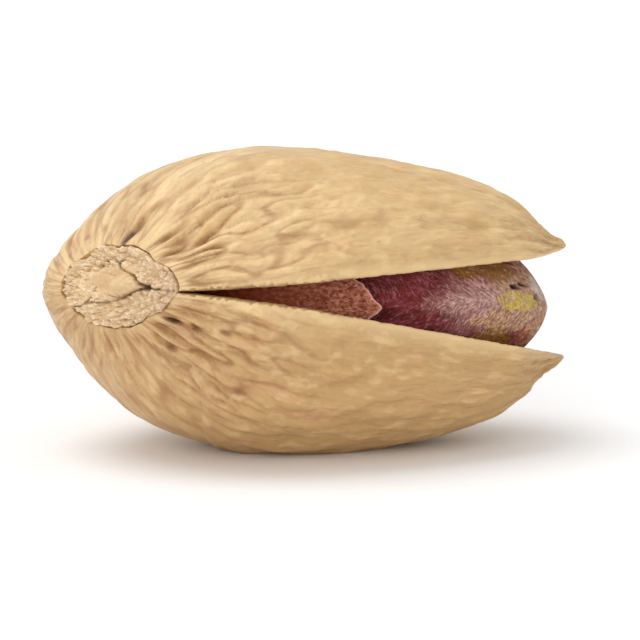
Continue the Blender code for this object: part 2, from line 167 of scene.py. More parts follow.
def inside(station, angle, valve):
    """Points of the shell's inside, open and laid down."""
    own, across, over = egg_place(station, angle)
    x = CAVITY_STEM_X + (CAVITY_BEAK_X - CAVITY_STEM_X) * (1 - np.cos(own)) / 2
    radius = smooth_curve(CAVITY_PROFILE, own)
    x, z = swing(x, radius * over * FULLNESS[valve], own, across, valve)
    return lay_down(x, radius * WIDTH_TO_THICKNESS * across, z)


# The stem scar's outline, which the furrows start from
SCAR_STATION = 0.25
SCAR_SWELL = 0.08
SCAR_SWELL_ANGLE = math.radians(75)
SCAR_TAIL = 0.1
SCAR_TAIL_ANGLE = math.radians(3)
SCAR_WAVER = 0.022
RECESS_DEPTH = 0.5
RECESS_LIP = 0.03


def scar_station(angle):
    """Station of the stem scar's outline, which runs out in a tail along the split."""
    swell = (1 + np.cos(angle - SCAR_SWELL_ANGLE)) / 2
    tail = ((1 + np.cos(angle - SCAR_TAIL_ANGLE)) / 2) ** 16
    waver = SCAR_WAVER * wander(4 * np.cos(angle), 4 * np.sin(angle), 1)
    return SCAR_STATION + SCAR_SWELL * swell + SCAR_TAIL * tail + waver


# Relief. A layer of noise has its height and its kind: counts round the pole, counts
# along a station, and where it starts. A furrow has its heading in degrees, its first and
# last station, its half width in degrees and its depth; a long crease has the heading at
# its first and at its last station. A slit or a pit has its station and heading, its half
# length as stations, its half width in degrees and its depth.
RIBS = ((0.26, (4.2, 1.1, 0)), (0.13, (8, 1.6, 7)))
RIB_FADE = 0.7
RIBS_FADE_OVER = (0.6, 2.2)
LUMPS = ((0.1, (1.7, 2.2, 3)),)
BLUNT_END_CALM = 0.9
BLUNT_END_OVER = (0.35, 1.1)
BACK_CALM = 0.6
BACK_FROM = (1, 1.5)
BEAK_CALM = 0.4
FURROW_OPENING = 6
FURROW_RUN_OUT = 0.7
DEEP_FURROWS = (
    (75, 0.32, 0.8, 6, 0.28), (37, 0.3, 1.05, 5, 0.2), (26, 0.34, 1.2, 4.5, 0.18),
    (108, 0.3, 0.95, 7, 0.18), (148, 0.27, 1, 8, 0.16), (-26, 0.36, 0.64, 4.5, 0.22),
    (-48, 0.26, 1.15, 5, 0.2), (-66, 0.24, 1.05, 5, 0.2), (-84, 0.24, 1, 5, 0.22),
    (-104, 0.25, 0.8, 6, 0.1), (-132, 0.25, 0.7, 7, 0.08), (-160, 0.25, 0.9, 8, 0.16),
)
BEND = ((0.06, (3, 2.6, 11)),)
CREASE_OPENING = 8
LONG_CREASE_RUN_OUT = 0.5
LONG_CREASE_TAPER = 0.5
LONG_CREASES = (
    (0.33, 78, 0.7, 73, 2.8, 0.42), (0.31, 41, 0.88, 34, 2, 0.16),
    (0.34, 28, 1, 25, 1.8, 0.14), (0.37, 19, 0.85, 20, 1.5, 0.12),
    (0.32, 54, 0.75, 49, 2, 0.14), (0.26, -94.5, 0.66, -84, 2.6, 0.18),
    (0.25, -74, 0.75, -67, 2.2, 0.15), (0.25, -114, 0.6, -103, 2.4, 0.15),
    (0.28, -57, 0.95, -52, 2, 0.14), (0.28, 96, 0.6, 92, 2.4, 0.14),
    (0.27, -38, 0.85, -37, 2, 0.12), (0.25, -134, 0.55, -128, 2.4, 0.12),
)
CREASE_SEED = 4
CREASES_BY_SCAR = 40
CREASES_FURTHER_ON = 50
CREASE_DEPTH = (0.06, 0.18)
CREASE_HALF_WIDTH = (2, 3.4)
CREASE_JITTER = (-0.3, 0.3)
CREASE_START = (-0.01, 0.06)
CREASE_LENGTH = (0.4, 1.1)
FURTHER_START = (0.45, 1.7)
FURTHER_LENGTH = (0.25, 0.8)
FURTHER_SHARE = 0.6
WRINKLE_HEIGHT = 0.27
WRINKLE_NOISE = (10, 2.7, 5)
FINE_WRINKLE_HEIGHT = 0.12
FINE_WRINKLE_NOISE = (18, 4.6, 9)
WRINKLE_MIDDLE = 0.25
WRINKLE_FADE = 0.9
WRINKLES_FADE_OVER = (0.75, 1.8)
CREASE_ROUNDING = 0.05
NEAR_RIBS = 0.6
NEAR_SIDE = (1.2, 0.7)
NEAR_STATIONS = (2.2, 1.2)
RIM_RELIEF = 0.2
RIM_BAND = (0.03, 0.16)
PEBBLES = ((0.1, (9, 7, 2)), (0.035, (30, 24, 6)))
PEBBLED_BEAKS = 0.9
PEBBLED_FROM = (0.9, 1.7)
# Painted shade: how strongly the colour darkens the creases, the beds of the wrinkles and the slits
HOLLOW_PER_MM = 4
WRINKLE_HOLLOW = 0.5
WRINKLE_BED = (0.17, 0.05)
FINE_WRINKLE_HOLLOW = 0.4
FINE_WRINKLE_BED = (0.15, 0.05)
SLIT_HOLLOW = 3
SLIT_DARK_PER_MM = 4
SLITS = (
    (0.405, -26, 0.045, 2.2, 0.34), (0.55, -24, 0.03, 2, 0.14), (0.495, -46, 0.03, 2, 0.1),
    (0.38, 77.5, 0.06, 2, 0.4), (0.75, -19, 0.03, 1, 0.08), (1.06, -45, 0.03, 1.2, 0.08),
)

# The row of small beads beside the upper edge, and the crease of the seam by the scar
BEAD_HEIGHT = 0.11
BEAD_LENGTH = 0.055
BEAD_HALF_WIDTH = 1.3
BEAD_HEADINGS = (0.8, 3.8)
BEADS_TURN_OVER = (1.5, 0.8)
BEADS_BEGIN = (0.5, 0.8)
BEADS_END = (1.9, 1.5)
BEAD_SHUFFLE = ((4, (2, 7, 8)),)
BEAD_LEAST = 0.25
BEAD_SIZES = ((1.6, (3, 8, 4)),)
# The colour is near black along the seam's crease: painted shade in the hairline crack
SEAM_CREASE = 0.3
SEAM_CREASE_WIDTH = 0.06
SEAM_CREASE_WIDENS = (0.4, 0.65)
SEAM_CREASE_ENDS = (0.85, 0.6)


def surface_noise(station, angle, kind):
    """Noise over the shell or the kernel, stretched along it."""
    around, along, start = kind
    return wander(around * np.cos(angle), around * np.sin(angle), along * station + start)


def layered_noise(station, angle, layers):
    """Noise of one or more sizes over the shell or the kernel."""
    return sum(height * surface_noise(station, angle, kind) for height, kind in layers)


def turned_from(degrees, middle):
    """Signed angle in degrees from a heading round the pole."""
    return (degrees - middle + 180) % 360 - 180


def groove(station, degrees, first, last, headings, half_width, opening, run_out=1, taper=0):
    """A groove's depth, as a share: it opens fast past its first station and then runs out."""
    along = np.clip((station - first) / (last - first), 0, 1)
    heading = headings[0] + (headings[1] - headings[0]) * along
    share = np.minimum(1, opening * along) * (1 - along) ** run_out
    return share * bell(turned_from(degrees, heading), half_width * (1 - taper * along))


def scatter_creases():
    """Narrow creases between the ribs: evenly by the scar, then shorter ones at random."""
    draw = np.random.default_rng(CREASE_SEED)
    creases = []
    for k in range(CREASES_BY_SCAR):
        heading = 360 * (k + draw.uniform(*CREASE_JITTER)) / CREASES_BY_SCAR
        first = float(scar_station(math.radians(heading))) + draw.uniform(*CREASE_START)
        creases.append((heading, first, first + draw.uniform(*CREASE_LENGTH), 1))
    for k in range(CREASES_FURTHER_ON):
        first = draw.uniform(*FURTHER_START)
        heading = draw.uniform(0, 360)
        creases.append((heading, first, first + draw.uniform(*FURTHER_LENGTH), FURTHER_SHARE))
    return [(*crease, draw.uniform(*CREASE_HALF_WIDTH), draw.uniform(*CREASE_DEPTH)) for crease in creases]


def creased(station, bent):
    """Depth of the narrow creases at each place."""
    sunk = 0 * station
    for heading, first, last, share, half_width, depth in scatter_creases():
        headings = (heading, heading)
        sunk += depth * share * groove(station, bent, first, last, headings, half_width, CREASE_OPENING)
    for first, first_heading, last, last_heading, half_width, depth in LONG_CREASES:
        sunk += depth * groove(
            station, bent, first, last, (first_heading, last_heading), half_width, CREASE_OPENING,
            LONG_CREASE_RUN_OUT, LONG_CREASE_TAPER,
        )
    return sunk


def bead_row(station, angle, bent):
    """The row of small beads, uneven in size and spacing."""
    inner, outer = BEAD_HEADINGS
    heading = inner + (outer - inner) * ramp(*BEADS_TURN_OVER, station)
    row = bell(bent - heading, BEAD_HALF_WIDTH) * ramp(*BEADS_BEGIN, station) * ramp(*BEADS_END, station)
    beads = np.sin(math.pi * station / BEAD_LENGTH + layered_noise(station, angle, BEAD_SHUFFLE))
    return row * np.abs(beads) * (BEAD_LEAST + np.abs(layered_noise(station, angle, BEAD_SIZES)))


def relief(station, angle):
    """Rise of the shell's surface, painted shade by how far each place lies in a crease, wrinkle bed or
    slit, and the near-black painted shade along the seam's crease and in the slits.
    """
    degrees = np.degrees(angle)
    bend = angle + layered_noise(station, angle, BEND)
    bent = np.degrees(bend)
    rise = layered_noise(station, angle, RIBS) * (1 - RIB_FADE * ramp(*RIBS_FADE_OVER, station))
    rise += layered_noise(station, angle, LUMPS)
    for heading, first, last, half_width, depth in DEEP_FURROWS:
        rise -= depth * groove(
            station, degrees, first, last, (heading, heading), half_width, FURROW_OPENING, FURROW_RUN_OUT,
        )
    wrinkles = np.hypot(surface_noise(station, bend, WRINKLE_NOISE), CREASE_ROUNDING)
    fine = np.hypot(surface_noise(station, bend, FINE_WRINKLE_NOISE), CREASE_ROUNDING)
    plain_rim = RIM_RELIEF + (1 - RIM_RELIEF) * ramp(*RIM_BAND, np.abs(angle))
    near_side = 1 + NEAR_RIBS * ramp(*NEAR_SIDE, np.abs(angle)) * ramp(*NEAR_STATIONS, station)
    ribbed = (1 - WRINKLE_FADE * ramp(*WRINKLES_FADE_OVER, station)) * plain_rim * near_side
    rise += WRINKLE_HEIGHT * (wrinkles - WRINKLE_MIDDLE) * ribbed
    rise += FINE_WRINKLE_HEIGHT * (fine - WRINKLE_MIDDLE) * ribbed
    pebbled = layered_noise(station, angle, PEBBLES) * plain_rim
    rise += pebbled * (1 + PEBBLED_BEAKS * ramp(*PEBBLED_FROM, station))
    rise += BEAD_HEIGHT * bead_row(station, angle, bent)
    sunk = creased(station, bent)
    # Painted shade in the creases and in the beds of the wrinkles, for the colour
    beds = ramp(*WRINKLE_BED, wrinkles) + FINE_WRINKLE_HOLLOW * ramp(*FINE_WRINKLE_BED, fine)
    hollow = HOLLOW_PER_MM * sunk + WRINKLE_HOLLOW * ribbed * beds
    dark = 0 * station
    # The slits sink, and the colour darkens them with painted shade
    for middle, heading, half_length, half_width, depth in SLITS:
        dip = bell(station - middle, half_length) * bell(turned_from(degrees, heading), half_width)
        rise -= depth * dip
        hollow += SLIT_HOLLOW * dip
        dark += SLIT_DARK_PER_MM * depth * dip
    blunt_end = (1 - np.cos(angle)) / 2 * (1 - ramp(*BLUNT_END_OVER, station))
    calm = (1 - BLUNT_END_CALM * blunt_end) * (1 - BACK_CALM * ramp(*BACK_FROM, np.abs(angle)))
    rise = (rise * calm - sunk * np.sqrt(calm)) * ramp(0, BEAK_CALM, math.pi - station)
    # The crease along the shut seam, darkened in the colour with painted shade
    own, _, _ = egg_place(station, angle)
    away = np.abs(angle) * smooth_curve(OUTER_PROFILE, own)
    width = SEAM_CREASE_WIDTH * (1 + ramp(*SEAM_CREASE_WIDENS, station)) / 2
    crease = bell(away, width) * ramp(*SEAM_CREASE_ENDS, station)
    return rise - SEAM_CREASE * crease, np.clip(hollow, 0, 1), np.clip(crease + dark, 0, 1)


# Mesh fineness, and the edges of the split: crumbs, a rounded outer corner and a cut face
SHELL_ROWS = 215
WALL_ROWS = 12
RECESS_SHARE = 0.993
SHELL_COLUMNS = 200
INSIDE_COLUMNS = 16
EDGE_CROWDING = 0.25
NEAR_CROWDING = 1.4
SCAR_CROWDING = 1.25
HAIRLINE = 0.03
RIM_STRIPS = 5
EDGE_ROUNDING = 0.14
EDGE_OPEN_GAP = 0.4
PALE_RIM = 0.4
RELIEF_FROM_SCAR = (-0.02, 0.16)
LIP_ENDS = (0, 0.12)
TOOTH = 0.16
TEETH_GAP = 0.12
CRUMBS = 0.5
COARSE_CRUMBS = 0.8
COARSE_CRUMB_COUNTS = (9, 32)
FINE_CRUMBS = 0.7
FINE_CRUMB_COUNT = 70
CRUMB_LIMITS = (0.25, 1.3)
CRUMBLIEST = 0.6
CRUMBLIEST_AT = 0.6
CRUMBLIEST_SPREAD = 0.2
SMOOTHER = 0.75
SMOOTHER_FROM = (0.8, 1.7)
FAR_RIM_SHIFT = 0.02
BREAK = 0.085
BREAK_BEGINS = (0.33, 0.46)
BREAK_ENDS = (1, 0.72)
# The colour turns tan towards the beaks, and tan over the lower valve as painted shade on the underside,
# which faces away from the light
TANNED_BEAKS = 0.45
TANNED_FROM = (0.7, 1.9)
TANNED_BELOW = 0.75
TANNED_UNDER = (0.4, -0.5)


class Surface:
    """Points, faces and marks for the materials of one closed mesh, gathered sheet by sheet."""

    def __init__(self, **marks):
        self.points = []
        self.marks = {label: [] for label in marks}
        self.usual = marks
        self.faces = []
        self.count = 0

    def place(self, points, **marks):
        """Add a grid of points with their marks, and give the grid of their numbers."""
        rows, columns = points.shape[:2]
        self.points.append(points.reshape(-1, 3))
        for label, held in self.marks.items():
            value = np.asarray(marks.get(label, self.usual[label]), float)
            parts = np.shape(self.usual[label])
            held.append(np.broadcast_to(value, (rows, columns) + parts).reshape((-1,) + parts))
        numbers = np.arange(self.count, self.count + rows * columns).reshape(rows, columns)
        self.count += rows * columns
        return numbers

    def sheet(self, grid):
        """Faces between the neighbouring rows and columns of a grid of point numbers."""
        corners = (grid[:-1, :-1], grid[1:, :-1], grid[1:, 1:], grid[:-1, 1:])
        self.faces.append(np.stack(corners, -1).reshape(-1, 4))

    def wrap(self, grid):
        """Faces of a closed skin, whose first and last rows are poles."""
        grid[0] = grid[0, 0]
        grid[-1] = grid[-1, 0]
        self.sheet(np.concatenate((grid, grid[:, :1]), axis=1))

    def finish(self, name, material):
        """Make the object, with one point for each place that a face uses."""
        used, faces = np.unique(np.concatenate(self.faces), return_inverse=True)
        faces = [list(dict.fromkeys(face)) for face in faces.reshape(-1, 4).tolist()]
        mesh = bpy.data.meshes.new(name)
        points = np.concatenate(self.points)[used] * MM
        mesh.from_pydata(points.tolist(), [], [face for face in faces if len(face) > 2])
        turned = bmesh.new()
        turned.from_mesh(mesh)
        bmesh.ops.recalc_face_normals(turned, faces=turned.faces)
        turned.to_mesh(mesh)
        turned.free()
        mesh.shade_smooth()
        for label, held in self.marks.items():
            values = np.concatenate(held)[used].astype(np.float32)
            kind, field = ("FLOAT_VECTOR", "vector") if values.ndim == 2 else ("FLOAT", "value")
            mesh.attributes.new(label, kind, "POINT").data.foreach_set(field, values.ravel())
        mesh.materials.append(material)
        piece = bpy.data.objects.new(name, mesh)
        bpy.context.scene.collection.objects.link(piece)
        return piece


def grain_at(station, angle):
    """The mark that textures follow: round the pole, and along."""
    return np.stack((np.cos(angle), np.sin(angle), station), -1)


def broken_off(station, angle):
    """How far the edge has broken off on either side of the split's narrow start."""
    near = np.cos(angle) > 0
    return BREAK * near * ramp(*BREAK_BEGINS, station) * ramp(*BREAK_ENDS, station)


def gap_at(station, angle):
    """Width of the open split beside a place on the seam."""
    own, across, over = egg_place(station, angle)
    _, up = swing(0, 0 * own, own, across, UPPER)
    _, down = swing(0, 0 * own, own, across, LOWER)
    return up - down + 2 * broken_off(station, angle)


def shell_rows(angle):
    """Stations of the rows at each angle: the recess, its wall, and on to the beaks."""
    edge = scar_station(angle)
    floor_rows = WALL_ROWS // 2
    shares = np.concatenate((
        np.linspace(0, RECESS_SHARE, floor_rows, endpoint=False),
        np.linspace(RECESS_SHARE, 1, WALL_ROWS - floor_rows, endpoint=False),
    ))
    before = edge * shares[:, None]
    share = np.linspace(0, 1, SHELL_ROWS - WALL_ROWS)[:, None] ** SCAR_CROWDING
    return np.concatenate((before, edge + (math.pi - edge) * share))


def cut_back(station, angle):
    """How far the crumbled edge stands back from the seam, as an angle."""
    own, _, _ = egg_place(station, angle)
    radius = np.maximum(smooth_curve(OUTER_PROFILE, own), 1)
    count_x, count_y = COARSE_CRUMB_COUNTS
    crumbs = CRUMBS + COARSE_CRUMBS * wander(count_x * station, count_y * station, 3)
    crumbs += FINE_CRUMBS * wander(FINE_CRUMB_COUNT * station, 5, 8)
    rough = 1 + CRUMBLIEST * bell(station - CRUMBLIEST_AT, CRUMBLIEST_SPREAD)
    rough -= SMOOTHER * ramp(*SMOOTHER_FROM, station)
    crumbled = TOOTH * np.clip(crumbs, *CRUMB_LIMITS) * rough * ramp(0, TEETH_GAP, gap_at(station, angle))
    return (crumbled + broken_off(station, angle)) / radius


def valve_grid(valve, columns):
    """Stations and angles of one valve's grid, crowded near its two edges."""
    t = np.linspace(0, 1, columns + 1) ** NEAR_CROWDING
    spread = math.pi * (t - EDGE_CROWDING * np.sin(2 * math.pi * t) / (2 * math.pi))
    station = shell_rows(valve * spread)
    near = cut_back(station[:, :1], 0 * station[:, :1])
    far = cut_back(station[:, -1:] + FAR_RIM_SHIFT * valve, 0 * station[:, :1] + math.pi)
    angle = near + (math.pi - near - far) * spread / math.pi
    return station, valve * angle


def add_rim(surface, outer, inner):
    """The cut face of one valve's edge, from the outer corner to the inner one."""
    points = np.concatenate(surface.points)
    grain = np.concatenate(surface.marks["grain"])
    share = np.linspace(0, 1, RIM_STRIPS + 1)[1:-1, None, None]
    start, end = points[outer][None], points[inner][None]
    middle = start + (end - start) * share
    held = np.broadcast_to(grain[outer][None], middle.shape)
    numbers = surface.place(middle, grain=held, rim=1, lining=0.5)
    numbers = np.concatenate((outer[None], numbers, inner[None]))
    for column in (0, -1):
        numbers[:, column] = np.where(np.arange(len(numbers)) < RIM_STRIPS, outer[column], inner[column])
    surface.sheet(numbers)


def make_shell(material):
    surface = Surface(grain=(0, 0, 0), hollow=0, rim=0, seam=0, tanned=0, lining=0)
    grids = {}
    for valve in (UPPER, LOWER):
        station, angle = valve_grid(valve, SHELL_COLUMNS)
        own, _, _ = egg_place(station, angle)
        radius = smooth_curve(OUTER_PROFILE, own)
        to_edge = np.minimum(np.abs(angle - angle[:, :1]), np.abs(angle - angle[:, -1:])) * radius
        beside = np.where(np.abs(angle) < math.pi / 2, 0, math.pi)
        opened = ramp(HAIRLINE, EDGE_OPEN_GAP, gap_at(station, beside))
        # sunk carries the painted shade of the creases, wrinkle beds and slits, and seam the painted shade
        # along the seam's crease and in the slits
        rise, sunk, seam = relief(station, angle)
        past_edge = station - scar_station(angle)
        rise = rise * ramp(*RELIEF_FROM_SCAR, past_edge) + RECESS_LIP * (1 - ramp(*LIP_ENDS, past_edge))
        wall = ramp(RECESS_SHARE, 1, station / scar_station(angle))
        rise = rise * wall - RECESS_DEPTH * (1 - wall)
        corner = np.clip(EDGE_ROUNDING - to_edge, 0, EDGE_ROUNDING)
        rise -= (EDGE_ROUNDING - np.sqrt(EDGE_ROUNDING ** 2 - corner ** 2)) * opened
        # Tan towards the beaks, and painted shade over the lower valve
        tanned = TANNED_BEAKS * ramp(*TANNED_FROM, station)
        tanned += TANNED_BELOW * ramp(*TANNED_UNDER, np.sin(angle))
        outer = surface.place(
            outside(station, angle, valve, rise), grain=grain_at(station, angle), hollow=sunk,
            rim=bell(to_edge, PALE_RIM) * opened, seam=seam, tanned=np.minimum(tanned, 1),
        )
        in_station, in_angle = valve_grid(valve, INSIDE_COLUMNS)
        inner = surface.place(
            inside(in_station, in_angle, valve), grain=grain_at(in_station, in_angle), lining=1,
        )
        grids[valve] = (outer, inner, station)
    for upper, lower in zip(grids[UPPER][:2], grids[LOWER][:2]):
        lower[0] = upper[0] = upper[0, 0]
        upper[-1] = upper[-1, 0]
        lower[-1] = lower[-1, 0]
    shut = {}
    for column, angle in ((0, 0), (-1, math.pi)):
        station = grids[UPPER][2][:, column]
        shut[column] = int(np.max(np.nonzero(gap_at(station, angle + 0 * station) < HAIRLINE)))
        for upper, lower in zip(grids[UPPER][:2], grids[LOWER][:2]):
            lower[:shut[column] + 1, column] = upper[:shut[column] + 1, column]
    for outer, inner, _ in grids.values():
        surface.sheet(outer)
        surface.sheet(inner)
        for column, row in shut.items():
            add_rim(surface, outer[row:, column], inner[row:, column])
    return surface.finish("pistachio_shell", material)


def node(tree, kind, inputs=None, **settings):
    """A shader node with its settings, and its inputs set to values or joined to outputs."""
    made = tree.nodes.new("ShaderNode" + kind)
    for name, value in settings.items():
        setattr(made, name, value)
    for name, value in (inputs or {}).items():
        if isinstance(value, bpy.types.NodeSocket):
            tree.links.new(value, made.inputs[name])
        else:
            made.inputs[name].default_value = value
    return made


def cut_between(tree, value, low, high):
    """0 where a value is at low, 1 where it is at high and a smooth rise between them."""
    return node(tree, "MapRange", {
        "Value": value, "From Min": low, "From Max": high,
    }, interpolation_type="SMOOTHSTEP").outputs["Result"]


def fine_noise(tree, vector, scale, detail=5, roughness=0.7):
    """Noise for the smallest grain."""
    return node(tree, "TexNoise", {
        "Vector": vector, "Scale": scale, "Detail": detail, "Roughness": roughness,
    }).outputs["Fac"]


def make_mottle_group():
    """Soft patches: a mask of noise, cut between two levels."""
    tree = bpy.data.node_groups.new("mottle", "ShaderNodeTree")
    tree.interface.new_socket("Vector", in_out="INPUT", socket_type="NodeSocketVector")
    for name in ("Scale", "Low", "High", "Detail"):
        tree.interface.new_socket(name, in_out="INPUT", socket_type="NodeSocketFloat")
    tree.interface.new_socket("Mask", in_out="OUTPUT", socket_type="NodeSocketFloat")
    entry = tree.nodes.new("NodeGroupInput").outputs
    cloud = node(tree, "TexNoise", {name: entry[name] for name in ("Vector", "Scale", "Detail")})
    mask = cut_between(tree, cloud.outputs["Fac"], entry["Low"], entry["High"])
    tree.links.new(mask, tree.nodes.new("NodeGroupOutput").inputs["Mask"])
    return tree


MOTTLE = make_mottle_group()


def stretched(tree, vector, scale):
    """A texture's coordinates, stretched along and across the grain."""
    return node(tree, "VectorMath", {0: vector, 1: scale}, operation="MULTIPLY").outputs[0]


def mottles(tree, vector, patches):
    """Masks of soft patches, by name."""
    masks = {}
    for name, (stretch, *cut) in patches.items():
        made = node(tree, "Group", node_tree=MOTTLE)
        for socket, value in zip(("Scale", "Low", "High", "Detail"), cut):
            made.inputs[socket].default_value = value
        tree.links.new(stretched(tree, vector, stretch), made.inputs["Vector"])
        masks[name] = made.outputs["Mask"]
    return masks


def blend(tree, share, first, second):
    """Colour first with second laid over it by share."""
    made = node(tree, "Mix", data_type="RGBA")
    for index, value in ((0, share), (6, first), (7, second)):
        if isinstance(value, bpy.types.NodeSocket):
            tree.links.new(value, made.inputs[index])
        else:
            made.inputs[index].default_value = value
    return made.outputs[2]


def sums(tree, operation, first, second):
    """Plain arithmetic between two values that change over the surface."""
    return node(tree, "Math", {0: first, 1: second}, operation=operation).outputs[0]


def mark(tree, name, output="Fac"):
    """A mark that the mesh carries."""
    return node(tree, "Attribute", attribute_name=name, attribute_type="GEOMETRY").outputs[output]


def new_material(name):
    material = bpy.data.materials.new(name)
    material.use_nodes = True
    return material, material.node_tree, material.node_tree.nodes["Principled BSDF"]


def lay_coats(tree, shader, colour, coats, masks):
    """Join the colour: a ground, and coats over it that each follow a mask."""
    for name, strength, over in coats:
        colour = blend(tree, sums(tree, "MULTIPLY", masks[name], strength), colour, over)
    tree.links.new(colour, shader.inputs["Base Color"])


def finish_surface(tree, shader, mask, spread, base, height, strength, distance):
    """Join the roughness, from base on by spread along a mask, and a fine bump."""
    rough = node(tree, "Math", {0: mask, 1: spread, 2: base}, operation="MULTIPLY_ADD")
    tree.links.new(rough.outputs[0], shader.inputs["Roughness"])
    bump = node(tree, "Bump", {"Height": height, "Strength": strength, "Distance": distance})
    tree.links.new(bump.outputs["Normal"], shader.inputs["Normal"])


# Colours. Soft patches have their stretch, scale, the two levels that the noise is cut
# between and their detail. A coat has the patches or the mark that it follows, its
# strength and its colour.
SHELL_CREAM = (0.87, 0.64, 0.335, 1)
SHELL_TAN = (0.545, 0.335, 0.135, 1)
SHELL_BROWN = (0.34, 0.15, 0.055, 1)
SHELL_PINK = (0.72, 0.40, 0.22, 1)
# Near black, for the painted shade along the seam's crease and in the slits
SHELL_DARK = (0.08, 0.03, 0.012, 1)
SHELL_LINING = (0.74, 0.50, 0.27, 1)
SHELL_PATCHES = {
    "streaks": ((10, 10, 4.6), 1, 0.38, 0.66, 4),
    "fibres": ((46, 46, 14), 1, 0.36, 0.7, 3),
    "clouds": ((3, 3, 2.4), 1, 0.35, 0.65, 2),
    "blush": ((7, 7, 3.4), 1.3, 0.55, 0.75, 2),
    "pores": ((40, 40, 24), 1, 0.68, 0.76, 1),
    "smudges": ((10, 10, 5), 1, 0.57, 0.72, 5),
    "glow": ((8, 8, 6), 1.4, 0.5, 0.7, 3),
}
# Painted shade: the tan coat where it darkens the lower valve, the brown coat in the creases, wrinkle beds
# and slits, and the near-black coat along the seam's crease and in the slits
SHELL_COATS = (
    ("clouds", 0.35, SHELL_TAN), ("tanned", 1, SHELL_TAN), ("streaks", 0.3, SHELL_TAN),
    ("blush", 0.5, SHELL_PINK), ("fibres", 0.1, SHELL_BROWN), ("hollow", 0.8, SHELL_BROWN),
    ("pores", 0.25, SHELL_BROWN), ("smudges", 0.22, SHELL_BROWN), ("glow", 0.35, SHELL_CREAM),
    ("rim", 0.45, SHELL_CREAM), ("seam", 0.95, SHELL_DARK), ("lining", 0.7, SHELL_LINING),
)
SHELL_FINE_STRETCH = (40, 40, 14)
SHELL_GLOW_DEPTH = 0.0006
SHELL_GLOW_RADIUS = (1, 0.45, 0.25)


def shell_material():
    material, tree, shader = new_material("woody_shell")
    grain = mark(tree, "grain", "Vector")
    masks = mottles(tree, grain, SHELL_PATCHES)
    for name in ("hollow", "rim", "seam", "tanned", "lining"):
        masks[name] = mark(tree, name)
    lay_coats(tree, shader, SHELL_CREAM, SHELL_COATS, masks)
    shader.inputs["Subsurface Weight"].default_value = 0.1
    shader.inputs["Subsurface Scale"].default_value = SHELL_GLOW_DEPTH
    shader.inputs["Subsurface Radius"].default_value = SHELL_GLOW_RADIUS
    fine = fine_noise(tree, stretched(tree, grain, SHELL_FINE_STRETCH), scale=1, roughness=0.65)
    finish_surface(
        tree, shader, masks["streaks"], spread=0.15, base=0.38, height=fine, strength=0.5, distance=0.0001,
    )
    return material


shell = make_shell(shell_material())
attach(shell, "root")
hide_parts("shell")


# The stem scar: the corky plug where the nut hung from its stalk, level with the shell and
# held in a recess of it. It is dry and crumbly, with cracks between its lobes, a smooth
# lobe in the middle and a hole beside it where the split begins.

# A place on the scar is given as stations from its middle: u towards the near seam's
# split and v over it. The smooth lobe has its middle and its two half sizes, and a pit its
# middle, its width as stations and its depth.
SCAR_FIT = 0.985
SCAR_RINGS = 110
SCAR_COLUMNS = 420
RING_CROWDING = 0.8
BASE_RINGS = 4
SCAR_LEVEL = 0.06
SCAR_CROWN = 0.1
SCAR_CROWN_SHAPE = 6
SCAR_BASE = -0.42
SCAR_RIM_DROP = 0.12
SCAR_RIM_FROM = 0.96
SCAR_LUMPS = 0.3
SCAR_LUMPS_PER_STATION = 13
GRAINS_PER_STATION = (22, 44)
GRAIN_HEIGHT = (0.16, 0.08)
GRAIN_MIDDLE = 0.6
# Painted shade between the grains, for the colour
GRAIN_HOLLOW = 0.1
CRUMBLE_LEAST = 0.45
CALM_MIDDLE = (-0.08, 0.02)
CALM_SPREAD = (0.04, 0.16)
CRACK_DEPTH = 0.2
CRACK_WIDTH = 0.007
CRACK_WAVER = 0.006
CRACK_WAVERS_PER_STATION = 60
CRACKS = (
    ((0.109, 0.33), (0.109, 0.296), (0.107, 0.243), (0.081, 0.186), (0.104, 0.142), (0.167, 0.099),
     (0.198, 0.045), (0.22, 0.026)),
    ((-0.21, -0.14), (-0.183, -0.124), (-0.115, -0.116), (-0.066, -0.08), (0.003, -0.082), (0.088, -0.048),
     (0.193, 0.016), (0.229, 0.026)),
    ((-0.115, -0.116), (-0.065, -0.033), (-0.031, 0.019)),
    ((-0.004, 0.203), (0.038, 0.227), (0.081, 0.186)),
    ((0.151, -0.202), (0.168, -0.158)),
    ((0.229, 0.026), (0.252, 0.02), (0.324, 0.01), (0.45, 0)),
)
CRACK_SHARE = 0.55
CRACK_SHARE_WAVER = 0.6
CRACK_SHARES_PER_STATION = 14
CRACK_LEAST = 0.2
DEEPEST_CRACK = (0.2, 0.03)
DEEPEST_SPREAD = (0.12, 0.06)
SMOOTH_LOBE = (0.075, 0.068, 0.125, 0.1)
SMOOTH_LOBE_RISE = 0.14
LOBE_CALM = 0.7
LOBE_EDGE = (1.12, 0.85)
LOBE_WAVER = 0.12
LOBE_WAVERS_PER_STATION = 22
PIT_HOLLOW_PER_MM = 3
SCAR_PITS = (
    (-0.133, 0.165, 0.012, 0.2), (-0.089, 0.142, 0.01, 0.16), (-0.034, 0.177, 0.011, 0.18),
    (0.229, 0.026, 0.02, 0.4), (0.213, 0.097, 0.02, -0.1), (0.1, -0.19, 0.012, 0.14),
    (-0.16, 0.02, 0.012, 0.12), (0.02, -0.2, 0.01, 0.14),
)
SCAR_TAIL_FROM = (0.22, 0.34)
# Painted shade on the plug's base, down in the recess
SCAR_BASE_HOLLOW = 0.6
SCAR_GRAIN_PER_MM = 0.1


def distance_to_line(u, v, line):
    """Distance from each place to a line of straight stretches."""
    nearest = np.full(np.shape(u), math.inf)
    for (u0, v0), (u1, v1) in zip(line, line[1:]):
        du, dv = u1 - u0, v1 - v0
        share = np.clip(((u - u0) * du + (v - v0) * dv) / (du * du + dv * dv), 0, 1)
        nearest = np.minimum(nearest, np.hypot(u - u0 - share * du, v - v0 - share * dv))
    return nearest


